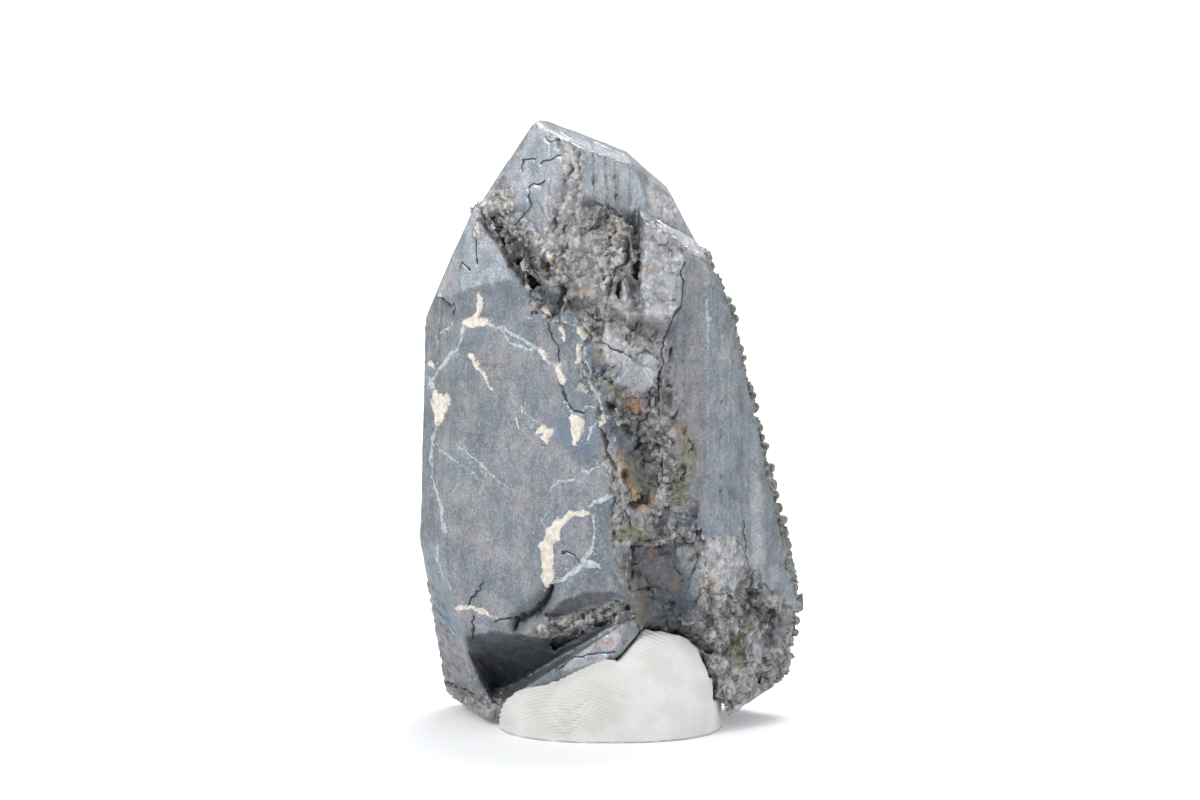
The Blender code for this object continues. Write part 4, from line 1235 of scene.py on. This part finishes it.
def putty_material():
    """Matt white putty, slightly translucent, with a faint warm mottle, specks, painted shade in the
    print's grooves, and darker at its foot.
    """
    paint = Paint("putty_surface")
    times = paint.times
    mottle = paint.range(paint.noise(2.4, 4), 0.35, 0.65)
    colour = paint.mix(mottle, PUTTY_SHADE, PUTTY_WHITE)
    speck = paint.range(paint.cells(1.7), 0.045, 0.03)
    colour = paint.mix(speck, colour, PUTTY_SPECK)
    # Painted shade: the grooves of the fingerprint are darkened.
    groove_shade = paint.range(paint.attribute("groove"), 0.0, 1.0)
    colour = paint.mix(times(groove_shade, 0.45), colour, PUTTY_GROOVE_SHADE)
    fibre = paint.range(paint.noise(0.10, 2, (1, 14, 1)), 0.70, 0.76)
    colour = paint.mix(times(fibre, 0.5), colour, PUTTY_FIBRE)
    # Darker towards the bottom, in the lowest tenths of a millimetre, mottled by noise.
    height = shader_node(paint.tree, "ShaderNodeSeparateXYZ", {0: paint.place}).outputs[2]
    low = paint.range(height, 0.28 * MM, 0.05 * MM)
    foot_dark = times(low, paint.range(paint.noise(1.8, 4), 0.34, 0.56))
    colour = paint.mix(times(foot_dark, 0.55), colour, PUTTY_FOOT_DARK)
    normal = paint.bump(paint.noise(0.30, 5, rough=0.7), 0.05)
    paint.shader.inputs["Subsurface Weight"].default_value = 0.12
    paint.shader.inputs["Subsurface Radius"].default_value = (0.0012, 0.0009, 0.0007)
    return paint.connect(Base_Color=colour, Roughness=0.78, Normal=normal)


def make_putty():
    """The putty with the ridges of the fingertip that pressed it."""
    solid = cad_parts["mounting_putty"]
    points, faces, _ = fine_mesh(solid, PUTTY_CELL)
    points = smoothed(points, faces, 10, ramp(points[:, 2], 0.1, 0.5))
    normals = smoothed(point_normals(points, faces), faces, 4)
    normals /= np.linalg.norm(normals, axis=1, keepdims=True)
    spots, _ = to_photo(points)
    away = spots - PRINT_CORE
    bent = np.hypot(away[:, 0], away[:, 1] * 1.5) + 4.0 * noise(points, 3.0, 91)
    ridge = np.cos(bent * 2 * math.pi / RIDGE_STEP)
    above = ramp(points[:, 2], 0.1, 0.8)
    print_zone = ramp(spots[:, 0] + 0.35 * (spots[:, 1] - 700), 668, 610) * above
    print_zone *= 0.35 + 0.65 * ramp(noise(points, 2.6, 92), -0.5, 0.2)
    turn = 2 * math.pi / GRID_WIDTH
    grid = np.cos(points[:, 0] * turn) * np.cos(points[:, 2] * turn)
    height = RIDGE_HEIGHT * ridge * print_zone + GRID_HEIGHT * grid * (1 - print_zone) * above
    height += 0.05 * layered(points, 2.2, 93) * above
    points = points + normals * height[:, None]
    points[:, 2] = np.maximum(points[:, 2], 0)
    fields = {"groove": print_zone * ramp(-ridge, 0.2, 1.0)}
    piece = make_piece("putty_wad", points, faces, fields)
    piece.data.materials.append(putty_material())
    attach(piece, "root")
    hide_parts("mounting_putty")


def make_floor():
    """A plain pale floor that glows more the farther it runs, so that no horizon shows."""
    half = FLOOR_HALF
    mesh = bpy.data.meshes.new("floor")
    corners = [(-half, -half, 0), (half, -half, 0), (half, half, 0), (-half, half, 0)]
    mesh.from_pydata(corners, [], [(0, 1, 2, 3)])
    floor = add_object("floor", mesh)
    paint = Paint("pale_floor")
    shade = paint.mix(paint.noise(90, 2), FLOOR_COOL, FLOOR_PALE)
    paint.shader.inputs["Emission Color"].default_value = (1.0, 1.0, 1.0, 1.0)
    away = shader_node(paint.tree, "ShaderNodeVectorMath", {0: paint.place}, operation="LENGTH")
    glow = paint.range(away.outputs["Value"], *FLOOR_GLOW_REACH, *FLOOR_GLOW)
    mesh.materials.append(paint.connect(Base_Color=shade, Roughness=0.7, Emission_Strength=glow))


def make_studio():
    """A white backdrop, a soft sky that grows brighter upwards, and three round lamps."""
    world = bpy.data.worlds.new("studio")
    bpy.context.scene.world = world
    world.use_nodes = True
    tree = world.node_tree
    back = tree.nodes["Background"]
    direction = shader_node(tree, "ShaderNodeTexCoord").outputs["Generated"]
    height = shader_node(tree, "ShaderNodeSeparateXYZ", {0: direction}).outputs[2]
    inputs = {"Value": height, "From Min": -0.4, "From Max": 0.9, "To Min": SKY_LOW, "To Max": SKY_HIGH}
    sky = shader_node(tree, "ShaderNodeMapRange", inputs).outputs["Result"]
    seen = shader_node(tree, "ShaderNodeLightPath").outputs["Is Camera Ray"]
    strength = shader_node(tree, "ShaderNodeMix", {0: seen, 2: sky, 3: BACKDROP}).outputs[0]
    tree.links.new(strength, back.inputs["Strength"])
    back.inputs["Color"].default_value = (1.0, 1.0, 1.0, 1.0)

    for name, place, width, power, colour in LIGHTS:
        lamp = bpy.data.lights.new(name, "AREA")
        lamp.shape = "DISK"
        lamp.size = width
        lamp.energy = power
        lamp.color = colour
        light = add_object(name, lamp)
        light.location = place
        aim = Vector(AIM.tolist()) * MM
        light.rotation_euler = (aim - Vector(place)).to_track_quat("-Z", "Y").to_euler()


def make_camera():
    """The camera of the photograph."""
    data = bpy.data.cameras.new("camera")
    data.lens = LENS
    data.sensor_width = SENSOR
    data.clip_start = 0.01
    camera = add_object("camera", data)
    camera.location = (EYE * MM).tolist()
    camera.rotation_euler = (math.pi / 2 - LOOKS_DOWN, 0, 0)
    bpy.context.scene.camera = camera
    bpy.context.scene.view_settings.view_transform = "Standard"


make_crystal()
make_putty()
make_floor()
make_studio()
make_camera()
